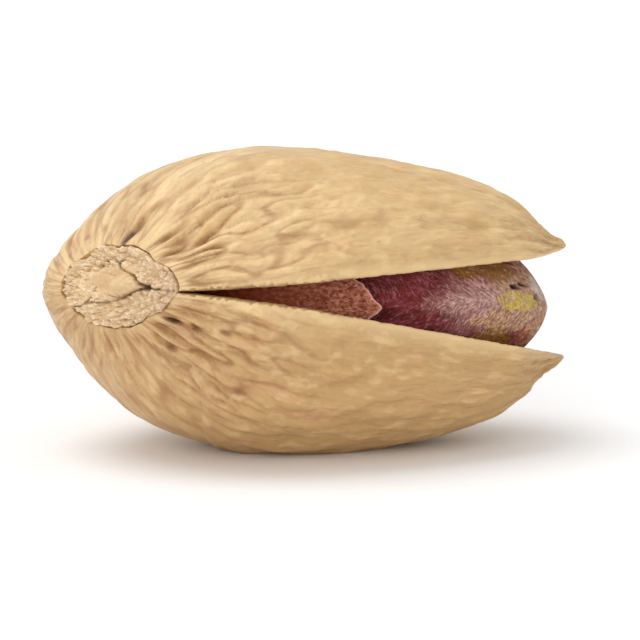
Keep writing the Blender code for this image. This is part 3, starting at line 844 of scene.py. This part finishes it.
def pebbles(x, y, z=0):
    """Rounded grains: 1 over each grain, down to 0 in the cracks between them."""
    x, y, z = np.broadcast_arrays(x, y, z)
    places = zip(x.ravel().tolist(), y.ravel().tolist(), z.ravel().tolist())
    near = np.array([noise.voronoi(place)[0][:2] for place in places])
    return ramp(0, 0.4, (near[:, 1] - near[:, 0]).reshape(x.shape))


def smooth_lobe(u, v):
    """The mask of the scar's smooth lobe."""
    middle_u, middle_v, half_u, half_v = SMOOTH_LOBE
    waver = LOBE_WAVER * wander(LOBE_WAVERS_PER_STATION * u, LOBE_WAVERS_PER_STATION * v, 4)
    return ramp(*LOBE_EDGE, np.hypot((u - middle_u) / half_u, (v - middle_v) / half_v) + waver)


def cracked(u, v, bent_u, bent_v):
    """How deep each place lies in a crack, as a share."""
    away = np.min([distance_to_line(bent_u, bent_v, line) for line in CRACKS], axis=0)
    share = wander(CRACK_SHARES_PER_STATION * u, CRACK_SHARES_PER_STATION * v, 7)
    share = CRACK_SHARE + CRACK_SHARE_WAVER * share
    share += ramp(*DEEPEST_SPREAD, np.hypot(u - DEEPEST_CRACK[0], v - DEEPEST_CRACK[1]))
    return bell(away, CRACK_WIDTH) * np.clip(share, CRACK_LEAST, 1)


def scar_relief(share, angle):
    """Rise of the scar's top, painted shade by how far each place lies in a crack, between grains or in a
    pit, and its smooth lobe.
    """
    station = share * scar_station(angle)
    u, v = station * np.cos(angle), station * np.sin(angle)
    lobe = smooth_lobe(u, v)
    waver_u, waver_v = CRACK_WAVERS_PER_STATION * u, CRACK_WAVERS_PER_STATION * v
    bent_u = u + CRACK_WAVER * wander(waver_u, waver_v, 1)
    bent_v = v + CRACK_WAVER * wander(waver_u, waver_v, 5)
    crumbly = CRUMBLE_LEAST + (1 - CRUMBLE_LEAST) * ramp(
        *CALM_SPREAD, np.hypot(u - CALM_MIDDLE[0], v - CALM_MIDDLE[1]))
    crumbly *= 1 - LOBE_CALM * lobe
    rise = SCAR_LEVEL + SCAR_CROWN * (1 - share ** SCAR_CROWN_SHAPE) + SMOOTH_LOBE_RISE * lobe
    rise += SCAR_LUMPS * wander(SCAR_LUMPS_PER_STATION * u, SCAR_LUMPS_PER_STATION * v, 2)
    # The cracks sink, and the colour darkens them, the gaps between the grains and the pits with painted
    # shade
    hollow = cracked(u, v, bent_u, bent_v)
    rise -= CRACK_DEPTH * hollow
    for count, height in zip(GRAINS_PER_STATION, GRAIN_HEIGHT):
        grains = pebbles(count * bent_u, count * bent_v)
        rise += height * crumbly * (grains - GRAIN_MIDDLE)
        hollow += GRAIN_HOLLOW * crumbly * (1 - grains)
    for middle_u, middle_v, width, depth in SCAR_PITS:
        dip = bell(np.hypot(u - middle_u, v - middle_v), width)
        rise -= depth * dip
        hollow += max(PIT_HOLLOW_PER_MM * depth, 0) * dip
    rise -= SCAR_RIM_DROP * ramp(SCAR_RIM_FROM, 1, share / SCAR_FIT)
    return rise, np.clip(hollow, 0, 1), lobe


def make_stem_scar(material):
    surface = Surface(grain=(0, 0, 0), hollow=0, smooth=0, tail=0)
    angle = np.linspace(0, 2 * math.pi, SCAR_COLUMNS, endpoint=False)[None, :]
    share = SCAR_FIT * np.linspace(0, 1, SCAR_RINGS)[:, None] ** RING_CROWDING
    rise, hollow, lobe = scar_relief(share, angle)
    station = share * scar_station(angle)
    base = SCAR_FIT * np.linspace(1, 0, BASE_RINGS)[:, None] * scar_station(angle)
    rises = np.concatenate((rise, 0 * base + SCAR_BASE))
    station = np.concatenate((station, base))
    angle = np.broadcast_to(angle, station.shape)
    upper = outside(station, angle, UPPER, rises)
    lower = outside(station, angle, LOWER, rises)
    points = np.where((angle <= math.pi)[..., None], upper, lower)
    u, v = station * np.cos(angle), station * np.sin(angle)
    surface.wrap(surface.place(
        points, grain=np.stack((u, v, SCAR_GRAIN_PER_MM * rises), -1),
        hollow=np.concatenate((hollow, 0 * base + SCAR_BASE_HOLLOW)),
        smooth=np.concatenate((lobe, 0 * base)), tail=ramp(*SCAR_TAIL_FROM, u),
    ))
    return surface.finish("scar_plug", material)


CORK = (0.92, 0.69, 0.43, 1)
CORK_PALE = (1, 0.88, 0.66, 1)
CORK_TAN = (0.76, 0.52, 0.27, 1)
CORK_PINK = (0.88, 0.62, 0.44, 1)
CORK_DARK = (0.22, 0.11, 0.05, 1)
EVEN = (1, 1, 1)
SCAR_PATCHES = {
    "patches": (EVEN, 26, 0.4, 0.62, 2),
    "specks": (EVEN, 150, 0.56, 0.7, 2),
    "pale": (EVEN, 70, 0.5, 0.66, 3),
}
# The darkest coat is painted shade in the cracks, between the grains, in the pits and on the base
SCAR_COATS = (
    ("patches", 0.5, CORK_TAN), ("pale", 0.9, CORK_PALE), ("smooth", 0.85, CORK_TAN),
    ("tail", 0.5, CORK_PINK), ("specks", 0.2, SHELL_BROWN), ("hollow", 0.85, CORK_DARK),
)


def scar_material():
    material, tree, shader = new_material("scar_cork")
    grain = mark(tree, "grain", "Vector")
    masks = mottles(tree, grain, SCAR_PATCHES)
    for name in ("hollow", "smooth", "tail"):
        masks[name] = mark(tree, name)
    lay_coats(tree, shader, CORK, SCAR_COATS, masks)
    fine = fine_noise(tree, grain, scale=220, detail=4)
    finish_surface(
        tree, shader, masks["smooth"], spread=-0.4, base=0.85, height=fine, strength=0.6, distance=0.00007,
    )
    return material


scar = make_stem_scar(scar_material())
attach(scar, "root")
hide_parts("stem_scar")


# The kernel: the seed in its thin dry skin, which is plum red and covered with fine pale
# fibres. By the nose the skin is worn, so tan fibres and the green seed leaves show. It
# lies loose in the shell and fills the open end.
KERNEL_STEM_X = -6.2
KERNEL_NOSE_X = 9.55
KERNEL_HALF_THICKNESS = 4
KERNEL_HALF_WIDTH = 4
KERNEL_SHIFT_Y = -0.05
KERNEL_LIFT = 0.08
KERNEL_BLUNTNESS = 0.94
NOSE_SLANT = 0.42
NOSE_SLANT_BELOW = 0.4
NOSE_SLANT_OVER = (1.9, 2.6)
KERNEL_WRINKLE_HEIGHT = 0.12
KERNEL_WRINKLE_NOISE = (3, 1.5, 0)
KERNEL_FINE_HEIGHT = 0.05
KERNEL_FINE_NOISE = (16, 7, 4)
KERNEL_FIBRE_HEIGHT = 0.07
KERNEL_FIBRE_NOISE = (34, 16, 8)
KERNEL_FIBRE_MIDDLE = 0.2
KERNEL_ROWS = 250
KERNEL_COLUMNS = 320

# Where the skin differs: station, angle in degrees, half length as stations and half
# width in degrees. A pit also has its depth.
OLIVE_PATCHES = (
    (2.36, 19, 0.14, 8), (2.14, 16.5, 0.1, 4.5), (2.3, -35, 0.17, 9.5), (2.52, 24, 0.09, 7),
)
GREEN_PATCHES = ((2.57, -4, 0.19, 10),)
TAN_PATCHES = ((2.42, -20, 0.22, 12), (2.55, 4, 0.2, 15))
RED_PATCHES = ((2.68, -47, 0.18, 13),)
PALE_PATCHES = ((2.87, 16, 0.13, 24), (3.02, -30, 0.1, 40))
# The pits sink, and the colour darkens them with painted shade
KERNEL_PITS = (
    (2.556, 9.2, 0.05, 2.6, 0.25), (2.768, -0.2, 0.03, 4.6, 0.25), (2.64, 13, 0.05, 2, 0.2),
)
PATCH_EDGE = (1.15, 0.8)
PATCH_WAVER = ((0.35, (9, 9, 3)), (0.2, (22, 20, 1)))
TAN_WAVER = 1.4
TAN_NOSE = (2.45, 2.7)
TAN_NOSE_WAVER = 0.5
PALE_WAVER = 1.3
PIT_EDGE = (1.3, 0.7)
PIT_WAVER = 0.6
OLIVE_SINK = 0.06
GREEN_SINK = 0.05

# The pale streak along the near side, and the hairs that slant away from it
STREAK_ANGLE = -4.5
STREAK_TURN = 3
STREAK_TURN_FROM = 2
STREAK_WAVER = 6
STREAK_HALF_WIDTH = 5
STREAK_WIDENS = (1.95, 2.3)
STREAK_FROM = (1.8, 2.15)
HALO = 0.75
HALO_HALF_WIDTH = 22
HALO_FROM = (1.9, 2.25)
HAIR_SLANT = math.radians(-38)
HAIR_LEAN = ((0.25, (5, 5, 2)), (0.08, (14, 12, 5)))
HAIR_PARTING = 2


def kernel_place(station, angle, rise):
    """Points at a rise above the kernel's smooth surface, laid down."""
    middle = (KERNEL_STEM_X + KERNEL_NOSE_X) / 2
    half_length = (KERNEL_NOSE_X - KERNEL_STEM_X) / 2
    swell = np.maximum(np.sin(station), 0) ** KERNEL_BLUNTNESS
    x = middle - (half_length + rise) * np.cos(station)
    y = KERNEL_SHIFT_Y - (KERNEL_HALF_WIDTH + rise) * swell * np.cos(angle)
    z = (KERNEL_HALF_THICKNESS + rise) * swell * np.sin(angle)
    x = x - NOSE_SLANT * np.maximum(z + NOSE_SLANT_BELOW, 0) * ramp(*NOSE_SLANT_OVER, station)
    return lay_down(x, y, KERNEL_LIFT + z)


def kernel_relief(station, angle):
    """Lengthwise wrinkles of the kernel, which fade at its two ends."""
    return KERNEL_WRINKLE_HEIGHT * np.sin(station) * surface_noise(station, angle, KERNEL_WRINKLE_NOISE)


def off_middle(station, degrees, middle, heading, half_length, half_width):
    """Distance from a patch's middle, as a share of its half size."""
    return np.hypot((station - middle) / half_length, turned_from(degrees, heading) / half_width)


def patch(station, degrees, waver, places):
    """Mask of patches with wandering edges."""
    masks = [ramp(*PATCH_EDGE, off_middle(station, degrees, *place) + waver) for place in places]
    return np.max(masks, axis=0)


def pale_streak(station, degrees, waver):
    """The mask of the pale streak, with a fainter halo."""
    away = turned_from(degrees, STREAK_ANGLE + STREAK_TURN * (station - STREAK_TURN_FROM))
    away += STREAK_WAVER * waver
    half_width = STREAK_HALF_WIDTH * (1 + ramp(*STREAK_WIDENS, station))
    streak = bell(away, half_width) * ramp(*STREAK_FROM, station)
    return np.maximum(streak, HALO * bell(away, HALO_HALF_WIDTH) * ramp(*HALO_FROM, station))


def hair_at(station, angle, degrees):
    """The mark that the hairs follow: along them, across them, and the side of the streak."""
    side = np.radians(turned_from(degrees, STREAK_ANGLE)) * KERNEL_HALF_WIDTH * np.sin(station)
    across = np.abs(side)
    length = (KERNEL_NOSE_X - KERNEL_STEM_X) / 2 * station
    along_hairs = length * math.cos(HAIR_SLANT) + across * math.sin(HAIR_SLANT)
    over_hairs = across * math.cos(HAIR_SLANT) - length * math.sin(HAIR_SLANT)
    over_hairs += layered_noise(station, angle, HAIR_LEAN)
    return np.stack((along_hairs, over_hairs, HAIR_PARTING * np.tanh(HAIR_PARTING * side)), -1)


def make_kernel(material):
    nowhere = (0, 0, 0)
    surface = Surface(grain=nowhere, bare=nowhere, worn=nowhere, hair=nowhere, streak=0)
    station = np.linspace(0, math.pi, KERNEL_ROWS + 1)[:, None]
    angle = np.linspace(-math.pi, math.pi, KERNEL_COLUMNS, endpoint=False)[None, :]
    station, angle = np.broadcast_arrays(station, angle)
    degrees = np.degrees(angle)
    waver = layered_noise(station, angle, PATCH_WAVER)
    olive = patch(station, degrees, waver, OLIVE_PATCHES)
    green = patch(station, degrees, waver, GREEN_PATCHES)
    tan = patch(station, degrees, TAN_WAVER * waver, TAN_PATCHES)
    tan = np.maximum(tan, ramp(*TAN_NOSE, station + TAN_NOSE_WAVER * waver))
    red = patch(station, degrees, waver, RED_PATCHES)
    pale = patch(station, degrees, PALE_WAVER * waver, PALE_PATCHES)
    fine = KERNEL_FINE_HEIGHT * surface_noise(station, angle, KERNEL_FINE_NOISE)
    fibre = np.abs(surface_noise(station, angle, KERNEL_FIBRE_NOISE)) - KERNEL_FIBRE_MIDDLE
    rise = kernel_relief(station, angle) + np.sin(station) * (fine - KERNEL_FIBRE_HEIGHT * fibre)
    rise -= OLIVE_SINK * olive + GREEN_SINK * green
    pit = 0 * station
    # Painted shade in the pits, for the colour
    for *place, depth in KERNEL_PITS:
        dip = ramp(*PIT_EDGE, off_middle(station, degrees, *place) + PIT_WAVER * waver)
        rise -= depth * dip
        pit = np.maximum(pit, dip)
    surface.wrap(surface.place(
        kernel_place(station, angle, rise), grain=grain_at(station, angle),
        bare=np.stack((olive, green, tan), -1), worn=np.stack((red, pale, pit), -1),
        streak=pale_streak(station, degrees, waver), hair=hair_at(station, angle, degrees),
    ))
    return surface.finish("seed_kernel", material)


def ragged(tree, vector, mask):
    """A mask with its soft edge frayed along fine fibres."""
    fibres = fine_noise(tree, vector, scale=26)
    frays = node(tree, "Math", {0: fibres, 1: 1.8, 2: -0.9}, operation="MULTIPLY_ADD").outputs[0]
    return cut_between(tree, sums(tree, "ADD", mask, frays), low=0.15, high=0.85)


def split(tree, vector):
    """The three numbers of a mark."""
    return node(tree, "SeparateXYZ", {"Vector": vector}).outputs


PLUM = (0.33, 0.036, 0.045, 1)
PLUM_DARK = (0.17, 0.014, 0.016, 1)
PLUM_VIOLET = (0.42, 0.07, 0.125, 1)
FIBRE_PINK = (0.66, 0.29, 0.27, 1)
STREAK_PINK = (0.96, 0.54, 0.47, 1)
FIBRE_TAN = (0.80, 0.42, 0.18, 1)
HAIR_PALE = (1, 0.70, 0.57, 1)
SEED_OLIVE = (0.42, 0.17, 0.006, 1)
SEED_GREEN = (0.95, 0.70, 0.09, 1)
WORN_RED = (0.58, 0.17, 0.06, 1)
SKIN_PALE = (1, 0.82, 0.69, 1)
# Near black, for the painted shade in the pits
PIT_DARK = (0.06, 0.02, 0.01, 1)
ALONG_SKIN = (1, 1, 0.6)
SKIN_PATCHES = {
    "clouds": (EVEN, 7, 0.35, 0.65, 2),
    "violet": (EVEN, 12, 0.45, 0.65, 2),
    "fuzz": (EVEN, 70, 0.42, 0.6, 3),
}
HAIR_PATCHES = {
    "hairs": ((4.6, 15, 1), 1, 0.46, 0.58, 6),
    "gaps": ((4, 12, 1.3), 1, 0.47, 0.6, 6),
}
KERNEL_COATS = (
    ("clouds", 1, PLUM), ("violet", 0.5, PLUM_VIOLET), ("hairs", 0.3, FIBRE_PINK),
    ("downy", 0.45, FIBRE_PINK), ("streak", 0.8, STREAK_PINK), ("red", 0.8, WORN_RED),
    ("tan", 0.8, FIBRE_TAN), ("gaps", 0.4, PLUM_DARK), ("olive", 0.9, SEED_OLIVE),
    ("green", 0.85, SEED_GREEN), ("pale", 1, SKIN_PALE), ("lit", 0.7, HAIR_PALE),
    ("gaps", 0.22, PLUM_DARK), ("pit", 0.9, PIT_DARK),
)


def kernel_material():
    material, tree, shader = new_material("seed_skin")
    lengthwise = stretched(tree, mark(tree, "grain", "Vector"), ALONG_SKIN)
    masks = mottles(tree, lengthwise, SKIN_PATCHES)
    masks.update(mottles(tree, mark(tree, "hair", "Vector"), HAIR_PATCHES))
    masks["streak"] = mark(tree, "streak")
    masks["downy"] = ragged(tree, lengthwise, masks["streak"])
    bare, worn = (split(tree, mark(tree, name, "Vector")) for name in ("bare", "worn"))
    for name, mask in zip(("olive", "green", "tan", "red", "pale"), (*bare, *worn)):
        masks[name] = ragged(tree, lengthwise, mask)
    masks["pit"] = worn[2]
    hairy = sums(tree, "MAXIMUM", masks["streak"], masks["tan"])
    masks["lit"] = sums(tree, "MULTIPLY", masks["hairs"], hairy)
    lay_coats(tree, shader, PLUM_DARK, KERNEL_COATS, masks)
    fine = fine_noise(tree, lengthwise, scale=60)
    down = sums(tree, "SUBTRACT", masks["hairs"], masks["gaps"])
    finish_surface(
        tree, shader, masks["fuzz"], spread=0.2, base=0.5,
        height=sums(tree, "ADD", fine, down), strength=0.9, distance=0.0001,
    )
    shader.inputs["Specular IOR Level"].default_value = 0.2
    return material


kernel = make_kernel(kernel_material())
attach(kernel, "root")
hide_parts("kernel")


# The torn skin: a flap of the papery lining of the shell, red brown and rough, that lies
# over the kernel's near side. It has come loose along a torn, pale edge with a point.
FLAP_THICKNESS = 0.16
FLAP_GAP = 0.07
FLAP_STEM_X = -4.4
FLAP_EDGE_X = 1.15
FLAP_POINT = 1.3
FLAP_POINT_ANGLE = math.radians(-6.5)
FLAP_POINT_SPREAD = math.radians(16)
FLAP_POINT_CALM = 0.6
FLAP_REACH = math.radians(58)
FLAP_TEARS = ((9, 0.06), (27, 0.05))
FLAP_NICKS = 0.1
FLAP_NICKS_PER_TURN = 30
FLAP_CURL = 0.1
FLAP_CURL_FROM = 0.86
FLAP_FOLLOW = 0.5
FLAP_CREASE_HEIGHT = 0.05
FLAP_CREASE_NOISE = (12, 8, 6)
FLAP_GRAIN_HEIGHT = 0.09
FLAP_GRAIN_MIDDLE = 0.5
FLAP_GRAINS = 20
FLAP_EDGE_BAND = 0.1
FLAP_ROWS = 150
FLAP_COLUMNS = 150
FLAP_CROWDING = 1.3


def kernel_station(x):
    """Station on the kernel that lies at x."""
    middle = (KERNEL_STEM_X + KERNEL_NOSE_X) / 2
    return np.arccos((middle - x) * 2 / (KERNEL_NOSE_X - KERNEL_STEM_X))


def torn_edge(angle):
    """X of the flap's torn edge, which runs out to a point near its middle."""
    point = np.maximum(0, 1 - np.abs(angle - FLAP_POINT_ANGLE) / FLAP_POINT_SPREAD)
    tears = sum(depth * np.sin(count * angle) for count, depth in FLAP_TEARS)
    nicks = FLAP_NICKS * wander(FLAP_NICKS_PER_TURN * angle, 2, 5) * (1 - FLAP_POINT_CALM * point)
    return FLAP_EDGE_X + FLAP_POINT * point + tears + nicks


def make_torn_skin(material):
    surface = Surface(grain=(0, 0, 0), edge=0)
    share = (1 - (1 - np.linspace(0, 1, FLAP_ROWS + 1)) ** FLAP_CROWDING)[:, None]
    angle = FLAP_REACH * np.linspace(-1, 1, FLAP_COLUMNS + 1)[None, :]
    x = FLAP_STEM_X + (torn_edge(angle) - FLAP_STEM_X) * share
    share, angle = np.broadcast_arrays(share, angle)
    station = kernel_station(x)
    rise = FLAP_FOLLOW * (KERNEL_WRINKLE_HEIGHT + kernel_relief(station, angle)) + FLAP_GAP
    rise += FLAP_CURL * ramp(FLAP_CURL_FROM, 1, share)
    crease = FLAP_CREASE_HEIGHT * np.abs(surface_noise(station, angle, FLAP_CREASE_NOISE))
    grain = grain_at(station, angle)
    grains = pebbles(*np.moveaxis(FLAP_GRAINS * grain, -1, 0)) - FLAP_GRAIN_MIDDLE
    edge = bell(torn_edge(angle) - x, FLAP_EDGE_BAND)
    under, over = (
        surface.place(kernel_place(station, angle, height), grain=grain, edge=edge)
        for height in (rise, rise + FLAP_THICKNESS + crease + FLAP_GRAIN_HEIGHT * grains)
    )
    surface.sheet(under)
    surface.sheet(over)
    for end in (0, -1):
        surface.sheet(np.stack((under[end], over[end])))
        surface.sheet(np.stack((under[:, end], over[:, end])))
    return surface.finish("skin_flap", material)


FLAP_BROWN = (0.58, 0.21, 0.12, 1)
FLAP_DARK = (0.17, 0.028, 0.01, 1)
FLAP_ROSE = (0.78, 0.38, 0.29, 1)
FLAP_EDGE = (0.95, 0.46, 0.40, 1)
# Painted shade: the flap turns darker and deeper red towards the stem end, where it runs into the narrowing
# split
FLAP_DEEP = (0.55, 0.075, 0.02, 1)
FLAP_DEEP_FROM = 1.45
FLAP_DEEP_TO = 0.95
FLAP_PATCHES = {
    "patches": (EVEN, 10, 0.38, 0.62, 2),
    "rose": (EVEN, 36, 0.46, 0.62, 3),
    "specks": (EVEN, 34, 0.5, 0.6, 5),
}
FLAP_COATS = (
    ("patches", 0.5, FLAP_DARK), ("rose", 0.5, FLAP_ROSE), ("specks", 0.7, FLAP_DARK),
    ("cracks", 0.7, FLAP_DARK), ("deep", 0.8, FLAP_DEEP), ("edge", 0.85, FLAP_EDGE),
)


def fine_cracks(tree, vector):
    """A mask of fine wandering cracks."""
    cloud = node(tree, "TexNoise", {"Vector": vector, "Scale": 20, "Detail": 2, "Distortion": 0.6})
    away = sums(tree, "ABSOLUTE", sums(tree, "SUBTRACT", cloud.outputs["Fac"], 0.5), 0)
    return cut_between(tree, away, low=0.05, high=0)


def flap_material():
    material, tree, shader = new_material("torn_skin_red")
    grain = mark(tree, "grain", "Vector")
    masks = mottles(tree, grain, FLAP_PATCHES)
    masks["cracks"] = fine_cracks(tree, grain)
    # Painted shade, darker towards the stem end
    masks["deep"] = node(tree, "MapRange", {
        "Value": split(tree, grain)[2], "From Min": FLAP_DEEP_FROM, "From Max": FLAP_DEEP_TO,
    }).outputs["Result"]
    masks["edge"] = mark(tree, "edge")
    lay_coats(tree, shader, FLAP_BROWN, FLAP_COATS, masks)
    fine = fine_noise(tree, grain, scale=70)
    finish_surface(
        tree, shader, masks["rose"], spread=0.2, base=0.62, height=fine, strength=0.8, distance=0.00008,
    )
    shader.inputs["Specular IOR Level"].default_value = 0.2
    return material


flap = make_torn_skin(flap_material())
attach(flap, "root")
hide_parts("torn_skin")


# The floor is a plain white sheet. Soft light falls from above and a little to the left,
# with a weaker light low in front, at the left.
FLOOR_SIZE = 4
FLOOR_WHITE = (0.93, 0.93, 0.93, 1)
FLOOR_ROUGHNESS = 0.9
WORLD_LIGHT = 0.77
LIT_POINT = Vector((0, 0, 0.005))
LIGHTS = {
    "key": (Vector((-0.34, 0.12, 1.1)), 0.75, 5.2),
    "fill": (Vector((-0.55, -0.9, 0.4)), 0.9, 3.5),
}

bpy.ops.mesh.primitive_plane_add(size=FLOOR_SIZE, location=(0, 0, 0))
floor = bpy.context.object
floor.name = "floor"
material, tree, shader = new_material("white_floor")
shader.inputs["Base Color"].default_value = FLOOR_WHITE
shader.inputs["Roughness"].default_value = FLOOR_ROUGHNESS
floor.data.materials.append(material)

world = bpy.data.worlds.new("studio")
bpy.context.scene.world = world
world.use_nodes = True
world.node_tree.nodes["Background"].inputs["Color"].default_value = (1, 1, 1, 1)
world.node_tree.nodes["Background"].inputs["Strength"].default_value = WORLD_LIGHT
bpy.context.scene.view_settings.view_transform = "Standard"

for name, (place, size, power) in LIGHTS.items():
    data = bpy.data.lights.new(name, "AREA")
    data.shape = "DISK"
    data.size = size
    data.energy = power
    lamp = bpy.data.objects.new(name, data)
    lamp.location = place
    lamp.rotation_euler = (LIT_POINT - place).to_track_quat("-Z", "Y").to_euler()
    bpy.context.scene.collection.objects.link(lamp)


# Camera: it looks from the near side, a little to the left and from above, and the
# place of the picture's middle on the nut is given beside a point on the nut's axis.
VIEW_YAW = math.radians(8)
VIEW_DROP = math.radians(11)
VIEW_DISTANCE = 0.22
PIXELS = 640
PIXELS_PER_MM = 26
AIM = Vector((-0.02, 0.46, 5.63)) * MM
AIM_RIGHT = 17
AIM_DOWN = 20

along = Vector((
    math.sin(VIEW_YAW) * math.cos(VIEW_DROP), math.cos(VIEW_YAW) * math.cos(VIEW_DROP), -math.sin(VIEW_DROP),
))
right = Vector((math.cos(VIEW_YAW), -math.sin(VIEW_YAW), 0))
up = right.cross(along)
camera_data = bpy.data.cameras.new("camera")
camera_data.lens = camera_data.sensor_width * PIXELS_PER_MM / MM * VIEW_DISTANCE / PIXELS
camera_data.clip_start = 0.01
camera_data.clip_end = 10
camera = bpy.data.objects.new("camera", camera_data)
bpy.context.scene.collection.objects.link(camera)
shift = (right * AIM_RIGHT - up * AIM_DOWN) * MM / PIXELS_PER_MM
camera.matrix_world = Matrix.Translation(AIM - along * VIEW_DISTANCE + shift) @ Matrix(
    (right, up, -along)).transposed().to_4x4()
bpy.context.scene.camera = camera
